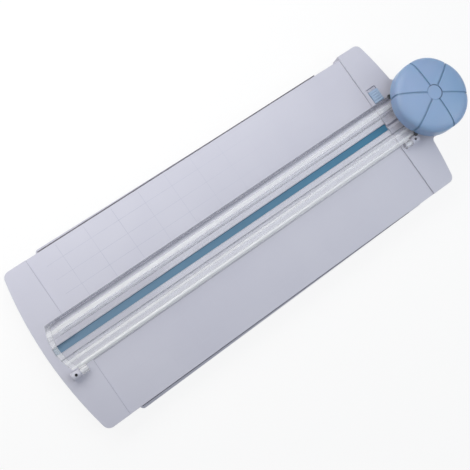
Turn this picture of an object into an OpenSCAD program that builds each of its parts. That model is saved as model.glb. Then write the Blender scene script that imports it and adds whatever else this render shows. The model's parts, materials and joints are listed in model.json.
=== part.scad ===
// Craft paper trimmer: hinged clear rail, sliding press-to-cut head with a rotary blade, swing-out arms.
// X runs along the cut towards the parked head, Y to the back, Z up. The origin is on the table, mid-part.

/* [Bed] */
// Length of the bed between the two end stops
bed_len = 312; // [260:1:340]
// Width of the bed, front to back
bed_w = 141; // [125:1:180]
// Height of the bed's top above the table
bed_h = 13.5; // [12.5:0.5:20]
// Thickness of the bed plate and of the tops of the wings
plate_t = 2.5; // [2:0.1:3.5]
// Thickness of the outer walls
wall_t = 2.4; // [1.6:0.1:3.5]
// Thickness of the ribs below the bed
rib_t = 1.8; // [1.2:0.1:3]
// Cells between the ribs, along the bed
cells_along = 8; // [6:1:12]
// Cells between the ribs, on each side of the cutting line
cells_across = 2; // [1:1:4]
// Distance of the wings' cross ribs from the cutting line
wing_rib_y = 38; // [34:0.5:44]
// Height of the wings above the bed, which stops the paper
stop_h = 1.2; // [0.8:0.1:2]

/* [Wings] */
// Reach of the left wing past its stop, on the centre line
left_wing = 27; // [24:0.5:36]
// Reach of the right wing past its stop, on the centre line
right_wing = 30; // [26:0.5:40]
// How far the right wing's back edge stands out past the bed
wing_step = 3; // [0:0.5:5]
// Radius of the bowed ends of the wings
bow_r = 338; // [250:1:500]
// Radius of the wings' corners
corner_r = 6; // [3:0.5:10]
// Radius of the lobe below the parked head
lobe_r = 31; // [28:0.5:34]
// Radius of the blend between the lobe and the wing
blend_r = 5; // [3:0.5:9]

/* [Feet] */
// Diameter of a rubber foot
foot_d = 12; // [8:0.5:16]
// How far a foot stands below the base
foot_out = 1.5; // [1:0.1:3]
// Depth of the socket that holds a foot
foot_in = 1; // [0.5:0.1:2]
// Wall round a foot's socket
socket_wall = 2; // [1:0.1:3]
// Distance of the corner feet from the bed's edge
foot_inset = 12.5; // [10:0.5:20]
// Distance of the right feet from the right stop
foot_x = 14; // [12:0.5:16]

/* [Cutting mat] */
// Width of the cutting mat
mat_w = 6; // [4:0.2:8]
// Thickness of the cutting mat
mat_t = 1.5; // [1:0.1:2.5]
// How far the mat's top lies below the bed's top
mat_recess = 0.7; // [0.5:0.1:1]
// How far the mat runs past the left stop
mat_over = 20.2; // [12:0.1:23]
// Width of the groove below the parked blade
relief_w = 2; // [1.5:0.1:3]
// Gap round the mat in its groove
mat_clear = 0.15; // [0.05:0.05:0.3]
// Width of the beam that carries the mat
beam_w = 12; // [10:0.5:18]
// Thickness of plastic below the mat
beam_floor = 2; // [1.2:0.1:3]

/* [Rail] */
// Width of the clear rail
rail_w = 41.5; // [40:0.5:46]
// Height of the rail's ridges
rail_h = 7; // [6.4:0.1:8]
// Gap between the rail and the wings that it closes on
rail_gap = 0.1; // [0.05:0.05:0.3]
// Width of the channel between the ridges
channel_w = 16; // [15:0.5:18]
// Width of the blade slot in the channel's floor
slot_w = 7; // [6:0.5:9]
// Thickness of the channel's floor
floor_t = 1.5; // [1.2:0.1:2]
// Thickness of the ridges' tops
ridge_t = 2; // [1.5:0.1:2.5]
// Thickness of the ridges' outer walls
ridge_wall = 2.6; // [1.8:0.1:3.2]
// Radius of the crown across the top of a ridge
crown_r = 22; // [16:0.5:40]
// Thickness of the ridges' walls beside the channel
channel_wall = 3.2; // [2.6:0.1:4]
// Radius of the ridges' outer shoulders
shoulder_r = 4; // [1:0.5:4]
// Radius of the ridges' inner shoulders
inner_r = 1.5; // [0.5:0.1:1.5]
// Depth of the grooves that hold the slider down
groove_d = 1.3; // [0.8:0.1:1.6]
// Height of those grooves
groove_h = 1.8; // [1.4:0.1:2.2]
// Height of those grooves above the channel's floor
groove_up = 1.5; // [1:0.1:1.8]
// Thickness of the rail's bowed end wall
end_wall = 4; // [2.5:0.1:6]
// Distance of the ridges' left ends from the left stop
ridge_start = 9; // [6:0.1:10]
// How far the end wall bows out
end_bow = 5; // [3:0.1:8]
// Reach of the rail past the left stop, on the centre line
rail_over = 20; // [18.5:0.5:22]

/* [Rail hinge] */
// Distance of the hinge axis in front of the cutting line
hinge_y = 23; // [22.5:0.1:26]
// Height of the hinge axis above the bed
hinge_z = 5; // [4.6:0.1:6]
// Diameter of the hinge pins
pin_d = 3; // [2:0.1:3.4]
// Running clearance of the pins in the rail's tabs, on the radius
pin_clear = 0.05; // [0.02:0.01:0.1]
// Radius of the rail's tabs round the pins
tab_r = 3; // [2.6:0.1:3.4]
// Height of the web that joins a tab to the rail
tab_web = 4; // [3:0.1:4.6]
// Length of a tab along its pin
tab_len = 6.3; // [4:0.1:8]
// Distance of the left tab's far face from the left stop
tab_left = 12; // [10:0.1:13]
// Distance of the right tab's near face from the right stop
tab_right = 1.2; // [0.5:0.1:3]
// Radius of the bosses that hold the pins
boss_r = 3.2; // [2.8:0.1:3.6]
// Length of a boss along its pin
boss_len = 7; // [5:0.1:7.4]
// Gap between a tab and its boss
tab_gap = 0.5; // [0.3:0.1:1]
// Diameter of the pinch hole in the top of a boss
pinch_d = 2.2; // [1.5:0.1:2.6]

/* [Rail catch] */
// Width of the catch's thumb piece
catch_w = 9.2; // [7:0.2:12]
// Length of the catch's thumb piece
catch_len = 11; // [9:0.5:13]
// Height of the catch above the wing
catch_up = 1; // [0.6:0.1:2]
// Depth of the catch's pocket below the wing's top
catch_deep = 3.2; // [3:0.1:4.5]
// Travel of the catch away from the rail
catch_travel = 2.8; // [2:0.1:4]
// Gap between the catch and the rail
catch_nose = 0.8; // [0.4:0.1:1.5]
// Gap round the catch in its pocket
catch_clear = 0.2; // [0.1:0.05:0.3]
// Gap below the catch
catch_lift = 0.1; // [0.05:0.05:0.2]
// Distance of the catch from the right stop
catch_x = 3.5; // [3:0.1:6]
// Finger grooves across the catch
catch_ribs = 4; // [2:1:6]
// Radius of those grooves
catch_groove_r = 0.3; // [0.2:0.05:0.5]
// Width and height of the tongues that hold the catch in
catch_tongue = 1; // [0.6:0.1:1.4]

/* [Arms] */
// Distance of an arm's free end from the left stop
arm_start = 9.5; // [8:0.5:20]
// Distance of an arm's pivot from the right stop
arm_pivot_x = 16; // [12:0.5:24]
// Distance of an arm's pivot from the bed's edge
arm_pivot_y = 6.5; // [6:0.5:9]
// How far an arm's free end stands out past the bed
arm_tip_out = 3; // [1:0.1:3]
// How far an arm stands out past the bed at its pivot
arm_root_out = 0.7; // [0:0.1:1]
// Thickness of an arm
arm_t = 4; // [3:0.1:5]
// Gap between an arm and the bed plate
arm_drop = 1.5; // [1:0.1:2]
// Room round an arm in its bay
arm_room = 2; // [1:0.1:3]
// Diameter of the shoulder screws that the arms turn on
pivot_d = 5; // [4:0.1:6]
// Diameter of those screws' heads
pivot_head_d = 9; // [7:0.1:11]
// Height of those screws' heads
pivot_head_h = 1.6; // [1.2:0.1:2]
// Running clearance of the arms on their screws, on the radius
pivot_clear = 0.06; // [0.02:0.01:0.1]
// Thickness of plastic above an arm's screw
pivot_cover = 0.8; // [0.6:0.1:1.2]
// Play of an arm along its screw
pivot_play = 0.3; // [0.2:0.05:0.5]

/* [Grip] */
// Diameter of the palm grip
dome_d = 66.5; // [64:0.5:72]
// Height of the grip from rim to top
dome_h = 16.5; // [16.5:0.5:22]
// Height of the grip's upright side
dome_side = 8; // [6:0.5:10]
// Fullness of the grip's shoulder
dome_power = 2.8; // [2.2:0.1:3.4]
// Wall of the grip
dome_t = 2.2; // [1.6:0.1:3]
// Distance of the parked grip's axis from the right stop
head_park = 40; // [37:0.5:42]
// How far the middle of each petal is set out from the grip's axis
petal_out = 4; // [2:0.5:5]
// Number of grooves in the grip
petal_grooves = 6; // [4:1:8]
// Width of the grooves in the grip
petal_w = 1.3; // [0.8:0.1:2]
// Depth of the grooves in the grip
petal_d = 0.7; // [0.4:0.1:1]
// Diameter of the cap in the top of the grip
cap_d = 13; // [10:0.5:16]
// How deep the cap is set below the top of the grip
cap_sunk = 0.3; // [0:0.1:0.6]
// Gap round the cap
cap_clear = 0.2; // [0.1:0.05:0.4]
// Thickness of the cap
cap_t = 1.2; // [0.8:0.1:1.5]
// Diameter of the hole that the cap's stem snaps through
stem_d = 8; // [5:0.5:9]
// Wall of the grip's screw bosses
boss_wall = 1.8; // [1.2:0.1:2.2]
// Length of the grip's screws above the plate
grip_screw_len = 6; // [4:0.5:7]
// Thickness of the plate that closes the grip from below
grip_plate_t = 2; // [1.6:0.1:2.6]
// Width of the blade's window in that plate
plate_window_w = 8; // [7.6:0.1:9]
// Gap round that plate
plate_fit = 0.15; // [0.1:0.05:0.3]
// Diameter of the screws in the grip
grip_screw_d = 2.6; // [2:0.1:3]
// Diameter of those screws' heads
grip_head_d = 5; // [4:0.1:6]
// Height of those screws' heads
grip_head_h = 1.5; // [1:0.1:1.8]
// Distance of those screws from the grip's axis, along the rail
grip_screw_x = 18; // [17.5:0.5:19]
// Distance of those screws from the grip's axis, across the rail
grip_screw_y = 15; // [13:0.5:16]

/* [Slider] */
// Length of the slider along the rail
slider_len = 27; // [26:0.5:28]
// Width of the slider's top across the ridges
slider_top_w = 43; // [41:0.5:46]
// Thickness of the slider's top
slider_top_t = 2.4; // [2:0.1:3]
// Running gap of the slider in the rail
slide_clear = 0.2; // [0.1:0.05:0.3]
// Gap between the slider's top and the ridges
slider_lift = 0.3; // [0.2:0.05:0.5]
// Length of the blade's window in the slider
window_len = 22; // [21:0.5:23]
// Width of the blade's window in the slider
window_w = 10; // [9:0.5:10.5]
// Length of the end stop at the right end of the rail
stop_len = 7; // [5:0.5:9]
// Gap round the end stop in the channel
stop_fit = 0.05; // [0.02:0.01:0.1]
// Gap between the parked slider and the end stop
stop_gap = 0.5; // [0.3:0.1:1]

/* [Press] */
// Travel of the grip when it is pressed to cut
press = 2.5; // [2:0.1:2.6]
// Gap left below the pressed grip
press_gap = 0.4; // [0.3:0.05:0.8]
// Diameter of the guide posts
post_d = 4; // [3:0.1:4.4]
// Distance of the guide posts from the cutting line
post_y = 16.5; // [15:0.5:17]
// Running clearance of the posts in the grip's sleeves, on the radius
post_clear = 0.06; // [0.02:0.01:0.1]
// Height of the spring pocket in a sleeve
sleeve_h = 4.5; // [4:0.5:5]
// Thickness of a sleeve's top
sleeve_top = 1.5; // [1:0.1:1.5]
// Wall of a sleeve
sleeve_wall = 1.5; // [1:0.1:2]
// Wire of the return springs
spring_wire = 0.7; // [0.5:0.05:0.8]
// Curls of a return spring
spring_curls = 5; // [4:0.5:5]
// Room between a spring and its post, and its pocket
spring_room = 0.4; // [0.3:0.05:0.5]

/* [Blade] */
// Diameter of the rotary blade
blade_d = 20; // [18:0.5:20]
// Thickness of the rotary blade
blade_t = 0.5; // [0.3:0.05:0.8]
// Width of the ground edge of the blade
blade_edge = 1.6; // [0.5:0.1:2.5]
// Thickness of the blade at its edge
edge_t = 0.1; // [0.05:0.01:0.2]
// How far the pressed blade reaches below the bed's top
blade_dip = 0.3; // [0.1:0.05:0.35]
// Outer diameter of the blade's bush
bush_d = 5; // [4.4:0.1:6]
// Width of the blade's bush
bush_w = 2; // [1.4:0.1:2.4]
// Diameter of the blade's axle
axle_d = 3; // [2:0.1:3.4]
// Running clearance of the bush on the axle, on the radius
axle_clear = 0.05; // [0.02:0.01:0.1]
// Thickness of the holder's cheeks
cheek_t = 1.8; // [1.4:0.1:2]
// Gap between the cheeks and the bush
cheek_gap = 0.3; // [0.2:0.05:0.5]
// Width of the holder's cheeks along the rail
cheek_w = 11; // [9:0.5:14]
// Height of the axle's head and of its clip
clip_t = 0.7; // [0.5:0.05:0.9]
// Diameter of the axle's head and of its clip
clip_d = 4.6; // [4.2:0.1:5]
// Length of the holder's flange along the rail
flange_len = 34; // [33:0.5:36]
// Width of the holder's flange across the rail
flange_w = 14; // [12:0.5:16]
// Thickness of the holder's flange
flange_t = 1.6; // [1.2:0.1:2]

/* [Hidden] */
$fn = 64;
bow_sides = 360;
end_sides = 180;
dome_sides = 96;
dome_steps = 14;

// Colours of the mouldings and fittings
white_plastic = [0.84, 0.84, 0.9];
clear_plastic = [0.86, 0.89, 0.95, 0.45];
teal_mat = [0.28, 0.48, 0.6];
blue_plastic = [0.53, 0.63, 0.78];
pale_blue = [0.62, 0.71, 0.82];
rubber = [0.2, 0.2, 0.22];
steel = [0.7, 0.72, 0.75];
dark_steel = [0.15, 0.15, 0.17];

// Overlap that joins two shapes of one piece, and the reach of a cut past a face
join = 0.2;
through = 1;

// Places along X, from the whole part's ends
dome_r = dome_d / 2;
part_len = left_wing + bed_len + head_park + dome_r;
left_stop = left_wing - part_len / 2;
right_stop = left_stop + bed_len;
head_x = right_stop + head_park;
left_end = left_stop - left_wing;
wing_end = right_stop + right_wing;
half_bed = bed_w / 2;

// Heights
bottom_z = foot_out;
under_z = bed_h - plate_t;
wing_z = bed_h + stop_h;
rail_z = wing_z + rail_gap;
rail_top = rail_z + rail_h;
floor_top = rail_z + floor_t;
rim_z = rail_top + press + press_gap;
axle_z = bed_h - blade_dip + blade_d / 2 + press;
mat_top = bed_h - mat_recess;

// Slider and grip heights
slider_top_z = rail_top + slider_lift;
slider_deck = slider_top_z + slider_top_t;
grip_plate_z = slider_deck + press + press_gap;
grip_plate_top = grip_plate_z + grip_plate_t;
sleeve_end = grip_plate_top + sleeve_h + sleeve_top;
post_top = sleeve_end + join;
spring_r = post_d / 2 + spring_room + spring_wire / 2;
pocket_r = spring_r + spring_wire / 2 + spring_room;
spring_len = grip_plate_top + sleeve_h - slider_deck;
cap_seat = rim_z + dome_h - cap_sunk - cap_t;

// Rings to a spring's curl, sides of its wire, and the rise from ring to ring
spring_rings = 8;
spring_sides = 6;
spring_steps = floor(spring_rings * spring_curls);
spring_rise = (spring_len - spring_wire) / spring_steps;

// Rail places
rail_left = left_stop - rail_over;
ridge_x = left_stop - ridge_start;
rail_half = rail_w / 2;
channel_half = channel_w / 2;
slider_half = slider_len / 2;
stop_x = head_x + slider_half + stop_gap;
rail_right = stop_x + stop_len;
stop_mid = stop_x + stop_len / 2;
end_r = (rail_half * rail_half + end_bow * end_bow) / (2 * end_bow);
slot_end = stop_x - stop_gap;
hinge_up = bed_h + hinge_z;
left_tab_x = left_stop - tab_left;
right_tab_x = right_stop + tab_right;
left_boss_x = left_tab_x - tab_gap - boss_len;
right_boss_x = right_tab_x + tab_len + tab_gap;
notch_y = hinge_y - boss_r - 2 * tab_gap;

// Arm places
arm_x = right_stop - arm_pivot_x;
arm_y = half_bed - arm_pivot_y;
arm_top = under_z - arm_drop;
arm_z = arm_top - arm_t;
arm_root_r = arm_pivot_y + arm_root_out;
bay_y = arm_y - arm_root_r - arm_room;
bay_left = left_stop + arm_start - 2 * arm_room;
bay_right = arm_x + arm_root_r + arm_room;
pivot_top = bed_h - pivot_cover;

// Catch places
catch_left = right_stop + catch_x;
catch_front = rail_half + catch_nose;
catch_floor = wing_z - catch_deep;

// Feet: four at the corners and one below the lobe
foot_y = half_bed - foot_inset;
foot_places = [
    [left_stop - foot_d / 2 - socket_wall, foot_y],
    [left_stop - foot_d / 2 - socket_wall, -foot_y],
    [right_stop + foot_x, foot_y],
    [right_stop + foot_x, -foot_y],
    [head_x + lobe_r - foot_d / 2 - socket_wall - wall_t, 0]
];

// A box between two corners
module block(low, high) {
    translate(low) cube(high - low);
}

// A round bar along X
module bar_x(x, y, z, r, len) {
    translate([x, y, z]) rotate([0, 90, 0]) cylinder(r = r, h = len);
}

// A round bar along Y, centred on the cutting line's plane at y
module bar_y(x, y, z, r, len) {
    translate([x, y, z]) rotate([-90, 0, 0]) cylinder(r = r, h = len);
}

// What a rounded corner takes off a square one; the corner points to +X and +Y
module corner_cut(r) {
    difference() {
        translate([-r, -r]) square(r + through);
        translate([-r, -r]) circle(r);
    }
}

// Plan of a wing: a strip with one bowed end and rounded corners, its stop at X 0, its end to +X
module wing_plan(reach, back, front) {
    bow_x = reach - bow_r;
    back_in = back - corner_r;
    front_in = front - corner_r;
    back_x = bow_x + sqrt(pow(bow_r - corner_r, 2) - back_in * back_in);
    front_x = bow_x + sqrt(pow(bow_r - corner_r, 2) - front_in * front_in);
    difference() {
        intersection() {
            translate([-join, -front]) square([reach + join, back + front]);
            translate([bow_x, 0]) circle(bow_r, $fn = bow_sides);
        }
        translate([back_x + corner_r, back]) corner_cut(corner_r);
        translate([front_x + corner_r, -front]) mirror([0, 1]) corner_cut(corner_r);
    }
}

module left_wing_plan() {
    translate([left_stop, 0]) mirror([1, 0]) wing_plan(left_wing, half_bed, half_bed);
}

// One blend between the bowed end of the right wing and the lobe, round to both
module lobe_blend() {
    bow_x = wing_end - bow_r;
    apart = head_x - bow_x;
    to_bow = bow_r + blend_r - join;
    to_lobe = lobe_r + blend_r - join;
    along = (apart * apart + to_bow * to_bow - to_lobe * to_lobe) / (2 * apart);
    up = sqrt(to_bow * to_bow - along * along);
    middle = [bow_x + along, up];
    on_bow = [bow_x, 0] + bow_r / to_bow * [along, up];
    on_lobe = [head_x, 0] + lobe_r / to_lobe * [along - apart, up];
    inner_x = wing_end - corner_r;
    difference() {
        polygon([[inner_x, 0], [inner_x, on_bow[1]], on_bow, middle, on_lobe, [head_x, 0]]);
        translate(middle) circle(blend_r);
    }
}

module right_wing_plan() {
    translate([right_stop, 0]) wing_plan(right_wing, half_bed + wing_step, half_bed);
    translate([head_x, 0]) circle(lobe_r);
    lobe_blend();
    mirror([0, 1]) lobe_blend();
}

// Cells between the ribs below the bed
module bed_cells() {
    x_step = (bed_len - rib_t) / cells_along;
    y_room = bay_y - wall_t - beam_w / 2;
    y_step = (y_room + rib_t) / cells_across;
    for (i = [0 : cells_along - 1], j = [0 : cells_across - 1], side = [-1, 1]) {
        x = left_stop + rib_t + i * x_step;
        y = beam_w / 2 + j * y_step;
        near = side > 0 ? y : -y - y_step + rib_t;
        block([x, near, bottom_z - through], [x + x_step - rib_t, near + y_step - rib_t, under_z]);
    }
    for (i = [0 : cells_along - 1]) {
        x = left_stop + rib_t + i * x_step;
        half = beam_w / 2 - rib_t;
        block([x, -half, bottom_z - through], [x + x_step - rib_t, half, mat_top - mat_t - beam_floor]);
    }
}

// Plan of the hollows below the wings and the lobe, before their ribs
module wing_hollows() {
    back = half_bed + wing_step - wall_t;
    side = half_bed - wall_t;
    translate([left_stop, 0]) mirror([1, 0]) wing_plan(left_wing - wall_t, side, side);
    translate([right_stop, 0]) wing_plan(right_wing - wall_t, back, side);
    translate([head_x, 0]) circle(lobe_r - wall_t);
}

// Plan of the ribs that cross those hollows
module wing_ribs() {
    far = part_len;
    translate([left_stop - wall_t, -far]) square([bed_len + 2 * wall_t, 2 * far]);
    translate([-far, -beam_w / 2]) square([2 * far, beam_w]);
    translate([wing_end - wall_t, -far]) square([rib_t, 2 * far]);
    for (y = [-wing_rib_y, wing_rib_y]) {
        translate([-far, y - rib_t / 2]) square([2 * far, rib_t]);
    }
}

// Cells below the wings and the lobe, leaving a housing round the catch
module wing_cells() {
    top = wing_z - plate_t;
    house = catch_tongue + wall_t;
    difference() {
        translate([0, 0, bottom_z - through]) linear_extrude(top - bottom_z + through) difference() {
            wing_hollows();
            wing_ribs();
        }
        block([catch_left - house, catch_front - wall_t, catch_floor - plate_t],
              [catch_left + catch_w + house, catch_front + catch_len + catch_travel + wall_t, wing_z]);
    }
}

// The bay that an arm folds into; side is 1 at the back and -1 in front
module arm_bay(side) {
    near = side > 0 ? bay_y : -half_bed - wing_step - through;
    far = side > 0 ? half_bed + wing_step + through : -bay_y;
    block([bay_left, near, bottom_z - through], [bay_right, far, under_z]);
}

// A boss for a hinge pin, standing on its wing
module hinge_boss(x) {
    bar_x(x, -hinge_y, hinge_up, boss_r, boss_len);
    block([x, -hinge_y - boss_r, wing_z - join], [x + boss_len, -hinge_y + boss_r, hinge_up]);
}

// The bore of a hinge boss and the hole in its top that its pin is pinched through
module hinge_bore(x) {
    bar_x(x - through, -hinge_y, hinge_up, pin_d / 2, boss_len + 2 * through);
    translate([x + boss_len / 2, -hinge_y, hinge_up]) cylinder(d = pinch_d, h = boss_r + through);
}

// The pocket of the rail catch, with its undercut
module catch_pocket() {
    x = catch_left - catch_clear;
    y = catch_front - catch_clear;
    len = catch_len + catch_travel + 2 * catch_clear;
    wide = catch_w + 2 * catch_clear;
    block([x, y, catch_floor], [x + wide, y + len, wing_z + through]);
    block([x - catch_tongue, y, catch_floor],
          [x + wide + catch_tongue, y + len, catch_floor + catch_tongue + 2 * catch_clear]);
}

// The groove that the mat lies in, and the narrow relief below the parked blade
module mat_groove() {
    wide = mat_w / 2 + mat_clear;
    mat_floor = mat_top - mat_t;
    block([left_stop - mat_over - mat_clear, -wide, mat_floor],
          [right_stop + mat_clear, wide, wing_z + through]);
    block([right_stop, -relief_w / 2, mat_top - mat_clear],
          [head_x + blade_d / 2, relief_w / 2, wing_z + through]);
}

module base() {
    color(white_plastic) difference() {
        union() {
            difference() {
                union() {
                    block([left_stop, -half_bed, bottom_z], [right_stop, half_bed, bed_h]);
                    translate([0, 0, bottom_z]) linear_extrude(wing_z - bottom_z) left_wing_plan();
                    translate([0, 0, bottom_z]) linear_extrude(wing_z - bottom_z) right_wing_plan();
                }
                bed_cells();
                wing_cells();
                arm_bay(1);
                arm_bay(-1);
            }
            for (p = foot_places) {
                translate([p[0], p[1], bottom_z])
                    cylinder(d = foot_d + 2 * socket_wall, h = under_z - bottom_z + join);
            }
            for (side = [-1, 1]) {
                translate([arm_x, side * arm_y, arm_top + pivot_play])
                    cylinder(d = pivot_head_d, h = arm_drop - pivot_play + join);
            }
            hinge_boss(left_boss_x);
            hinge_boss(right_boss_x);
        }
        for (p = foot_places) {
            translate([p[0], p[1], bottom_z - through]) cylinder(d = foot_d, h = foot_in + through);
        }
        for (side = [-1, 1]) {
            translate([arm_x, side * arm_y, arm_top]) cylinder(d = pivot_d, h = pivot_top - arm_top);
        }
        hinge_bore(left_boss_x);
        hinge_bore(right_boss_x);
        catch_pocket();
        mat_groove();
    }
}

module cutting_mat() {
    color(teal_mat) block([left_stop - mat_over, -mat_w / 2, mat_top - mat_t],
                          [right_stop, mat_w / 2, mat_top]);
}

module feet() {
    color(rubber) for (p = foot_places) {
        translate([p[0], p[1], 0]) cylinder(d = foot_d, h = foot_out + foot_in);
    }
}

module left_hinge_pin() {
    color(dark_steel) bar_x(left_boss_x, -hinge_y, hinge_up, pin_d / 2, boss_len + tab_gap + tab_len);
}

module right_hinge_pin() {
    color(dark_steel) bar_x(right_tab_x, -hinge_y, hinge_up, pin_d / 2, tab_len + tab_gap + boss_len);
}

module arm_pivots() {
    color(steel) for (side = [-1, 1]) {
        translate([arm_x, side * arm_y, arm_z - pivot_play - pivot_head_h]) {
            cylinder(d = pivot_head_d, h = pivot_head_h);
            cylinder(d = pivot_d, h = pivot_head_h + pivot_play + pivot_top - arm_z);
        }
    }
}

// Plan of the back arm: a tapered bar with a round root and a rounded free end
module arm_plan() {
    tip_x = left_stop + arm_start;
    tip_y = half_bed + arm_tip_out;
    inner_y = arm_y - arm_root_r;
    difference() {
        union() {
            translate([arm_x, arm_y]) circle(arm_root_r);
            polygon([[tip_x, inner_y], [arm_x, inner_y], [arm_x, arm_y + arm_root_r], [tip_x, tip_y]]);
        }
        translate([arm_x, arm_y]) circle(pivot_d / 2 + pivot_clear);
        translate([tip_x, tip_y]) mirror([1, 0]) corner_cut(corner_r / 2);
        translate([tip_x, inner_y]) mirror([1, 0]) mirror([0, 1]) corner_cut(corner_r / 2);
    }
}

module back_arm() {
    color(white_plastic) translate([0, 0, arm_z]) linear_extrude(arm_t) arm_plan();
}

module front_arm() {
    color(white_plastic) translate([0, 0, arm_z]) linear_extrude(arm_t) mirror([0, 1]) arm_plan();
}

module rail_catch() {
    top = wing_z + catch_up;
    foot_z = catch_floor + catch_lift;
    foot_top = foot_z + catch_tongue;
    rib_step = catch_len / (catch_ribs + 1);
    color(pale_blue) difference() {
        union() {
            block([catch_left, catch_front, foot_z], [catch_left + catch_w, catch_front + catch_len, top]);
            block([catch_left - catch_tongue, catch_front, foot_z],
                  [catch_left + catch_w + catch_tongue, catch_front + catch_len, foot_top]);
        }
        for (i = [1 : catch_ribs]) {
            bar_x(catch_left - through, catch_front + i * rib_step, top,
                  catch_groove_r, catch_w + 2 * through);
        }
    }
}

// Section of one ridge and half of the channel's floor, beside the cutting line
module half_rail_section() {
    difference() {
        union() {
            translate([slot_w / 2, 0]) square([rail_half - slot_w / 2, floor_t]);
            translate([channel_half, 0]) square([rail_half - channel_half, rail_h]);
        }
        translate([rail_half, rail_h]) corner_cut(shoulder_r);
        translate([channel_half, rail_h]) mirror([1, 0]) corner_cut(inner_r);
        translate([channel_half - through, floor_t + groove_up]) square([groove_d + through, groove_h]);
        translate([channel_half + channel_wall, -through])
            square([rail_half - ridge_wall - channel_half - channel_wall, rail_h - ridge_t + through]);
        ridge_crown();
    }
}

// What the crown takes off the square top of a ridge
module ridge_crown() {
    difference() {
        translate([channel_half, rail_h - shoulder_r]) square([rail_half - channel_half, shoulder_r]);
        translate([(channel_half + rail_half) / 2, rail_h - crown_r]) circle(crown_r, $fn = bow_sides);
    }
}

// Half section of the open cup at the rail's left end: floor and outer wall
module half_cup_section() {
    difference() {
        union() {
            translate([slot_w / 2, 0]) square([rail_half - slot_w / 2, floor_t]);
            translate([rail_half - ridge_wall, 0]) square([ridge_wall, rail_h]);
        }
        translate([rail_half, rail_h]) corner_cut(shoulder_r);
    }
}

// Half section of the web that closes the left end of a ridge
module half_web_section() {
    difference() {
        translate([channel_half, 0]) square([rail_half - channel_half, rail_h]);
        translate([rail_half, rail_h]) corner_cut(shoulder_r);
        translate([channel_half, rail_h]) mirror([1, 0]) corner_cut(inner_r);
        translate([channel_half - through, floor_t + groove_up]) square([groove_d + through, groove_h]);
        ridge_crown();
    }
}

// One side of the rail's sweep: cup, web and ridge
module rail_side() {
    along_rail(rail_left, ridge_x + join) half_cup_section();
    along_rail(ridge_x, ridge_x + ridge_t) half_web_section();
    along_rail(ridge_x, rail_right) half_rail_section();
}

// Outline of the whole section, with the channel filled
module full_rail_section() {
    difference() {
        translate([-rail_half, 0]) square([rail_w, rail_h]);
        translate([rail_half, rail_h]) corner_cut(shoulder_r);
        translate([-rail_half, rail_h]) mirror([1, 0]) corner_cut(shoulder_r);
    }
}

// Sweeps a section drawn in Y and Z along X
module along_rail(from, to) {
    translate([from, 0, rail_z]) rotate([90, 0, 90]) linear_extrude(to - from) children();
}

// The space inside the bowed end, set in from its outer face
module end_space(inset) {
    translate([rail_left + end_r, 0, rail_z - through])
        cylinder(r = end_r - inset, h = rail_h + 2 * through, $fn = end_sides);
    block([left_stop, -rail_w, rail_z - through], [rail_right + through, rail_w, rail_top + through]);
}

// A hinge tab of the rail, round its pin
module hinge_tab(x) {
    bar_x(x, -hinge_y, hinge_up, tab_r, tab_len);
    block([x, -hinge_y, hinge_up - tab_web / 2],
          [x + tab_len, -rail_half + ridge_wall / 2, hinge_up + tab_web / 2]);
}

module rail() {
    color(clear_plastic) difference() {
        union() {
            intersection() {
                union() {
                    rail_side();
                    mirror([0, 1, 0]) rail_side();
                    along_rail(slot_end, rail_right) translate([-slot_w / 2 - join, 0])
                        square([slot_w + 2 * join, floor_t]);
                }
                end_space(0);
            }
            difference() {
                intersection() {
                    along_rail(rail_left, left_stop) full_rail_section();
                    end_space(0);
                }
                end_space(end_wall);
            }
            hinge_tab(left_tab_x);
            hinge_tab(right_tab_x);
        }
        for (x = [left_tab_x, right_tab_x]) {
            bar_x(x - through, -hinge_y, hinge_up, pin_d / 2 + pin_clear, tab_len + 2 * through);
        }
        block([left_boss_x - through, -rail_w, rail_z - through], [left_tab_x, -notch_y, rail_top + through]);
        block([right_boss_x - tab_gap, -rail_w, rail_z - through],
              [right_boss_x + boss_len + tab_gap, -notch_y, rail_top + through]);
        translate([stop_mid, 0, rail_z - through]) cylinder(d = grip_screw_d, h = floor_t + 2 * through);
    }
}

// Section of what lies in the channel, with its tongues; lift is its gap to the channel's floor
module channel_section(clear, lift) {
    half = channel_half - clear;
    tongue_half = half + groove_d;
    translate([-half, floor_t + lift]) square([2 * half, rail_h - floor_t - lift]);
    translate([-tongue_half, floor_t + groove_up + clear]) square([2 * tongue_half, groove_h - 2 * clear]);
}

module rail_end_stop() {
    color(white_plastic) difference() {
        along_rail(stop_x, rail_right) channel_section(stop_fit, 0);
        translate([stop_mid, 0, rail_z]) cylinder(d = grip_screw_d, h = rail_h + through);
        translate([stop_mid, 0, rail_top - grip_head_h]) cylinder(d = grip_head_d, h = grip_head_h + through);
    }
}

module stop_screw() {
    color(steel) translate([stop_mid, 0, 0]) {
        translate([0, 0, rail_z]) cylinder(d = grip_screw_d, h = rail_h - grip_head_h + join);
        translate([0, 0, rail_top - grip_head_h]) cylinder(d = grip_head_d, h = grip_head_h);
    }
}

module slider() {
    color(white_plastic) difference() {
        union() {
            along_rail(head_x - slider_half, head_x + slider_half) channel_section(slide_clear, slide_clear);
            block([head_x - slider_half, -channel_half + slide_clear, rail_top - join],
                  [head_x + slider_half, channel_half - slide_clear, slider_deck]);
            translate([head_x, 0, slider_top_z]) linear_extrude(slider_top_t) slider_top_plan();
        }
        block([head_x - window_len / 2, -window_w / 2, rail_z],
              [head_x + window_len / 2, window_w / 2, slider_deck + through]);
        for (side = [-1, 1]) {
            translate([head_x, side * post_y, rail_z]) cylinder(d = post_d, h = slider_deck);
        }
    }
}

// Plan of the slider's top, with rounded corners
module slider_top_plan() {
    half_w = slider_top_w / 2;
    difference() {
        square([slider_len, slider_top_w], center = true);
        for (sx = [0, 1], sy = [0, 1]) {
            mirror([sx, 0]) mirror([0, sy]) translate([slider_half, half_w]) corner_cut(corner_r / 2);
        }
    }
}

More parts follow.
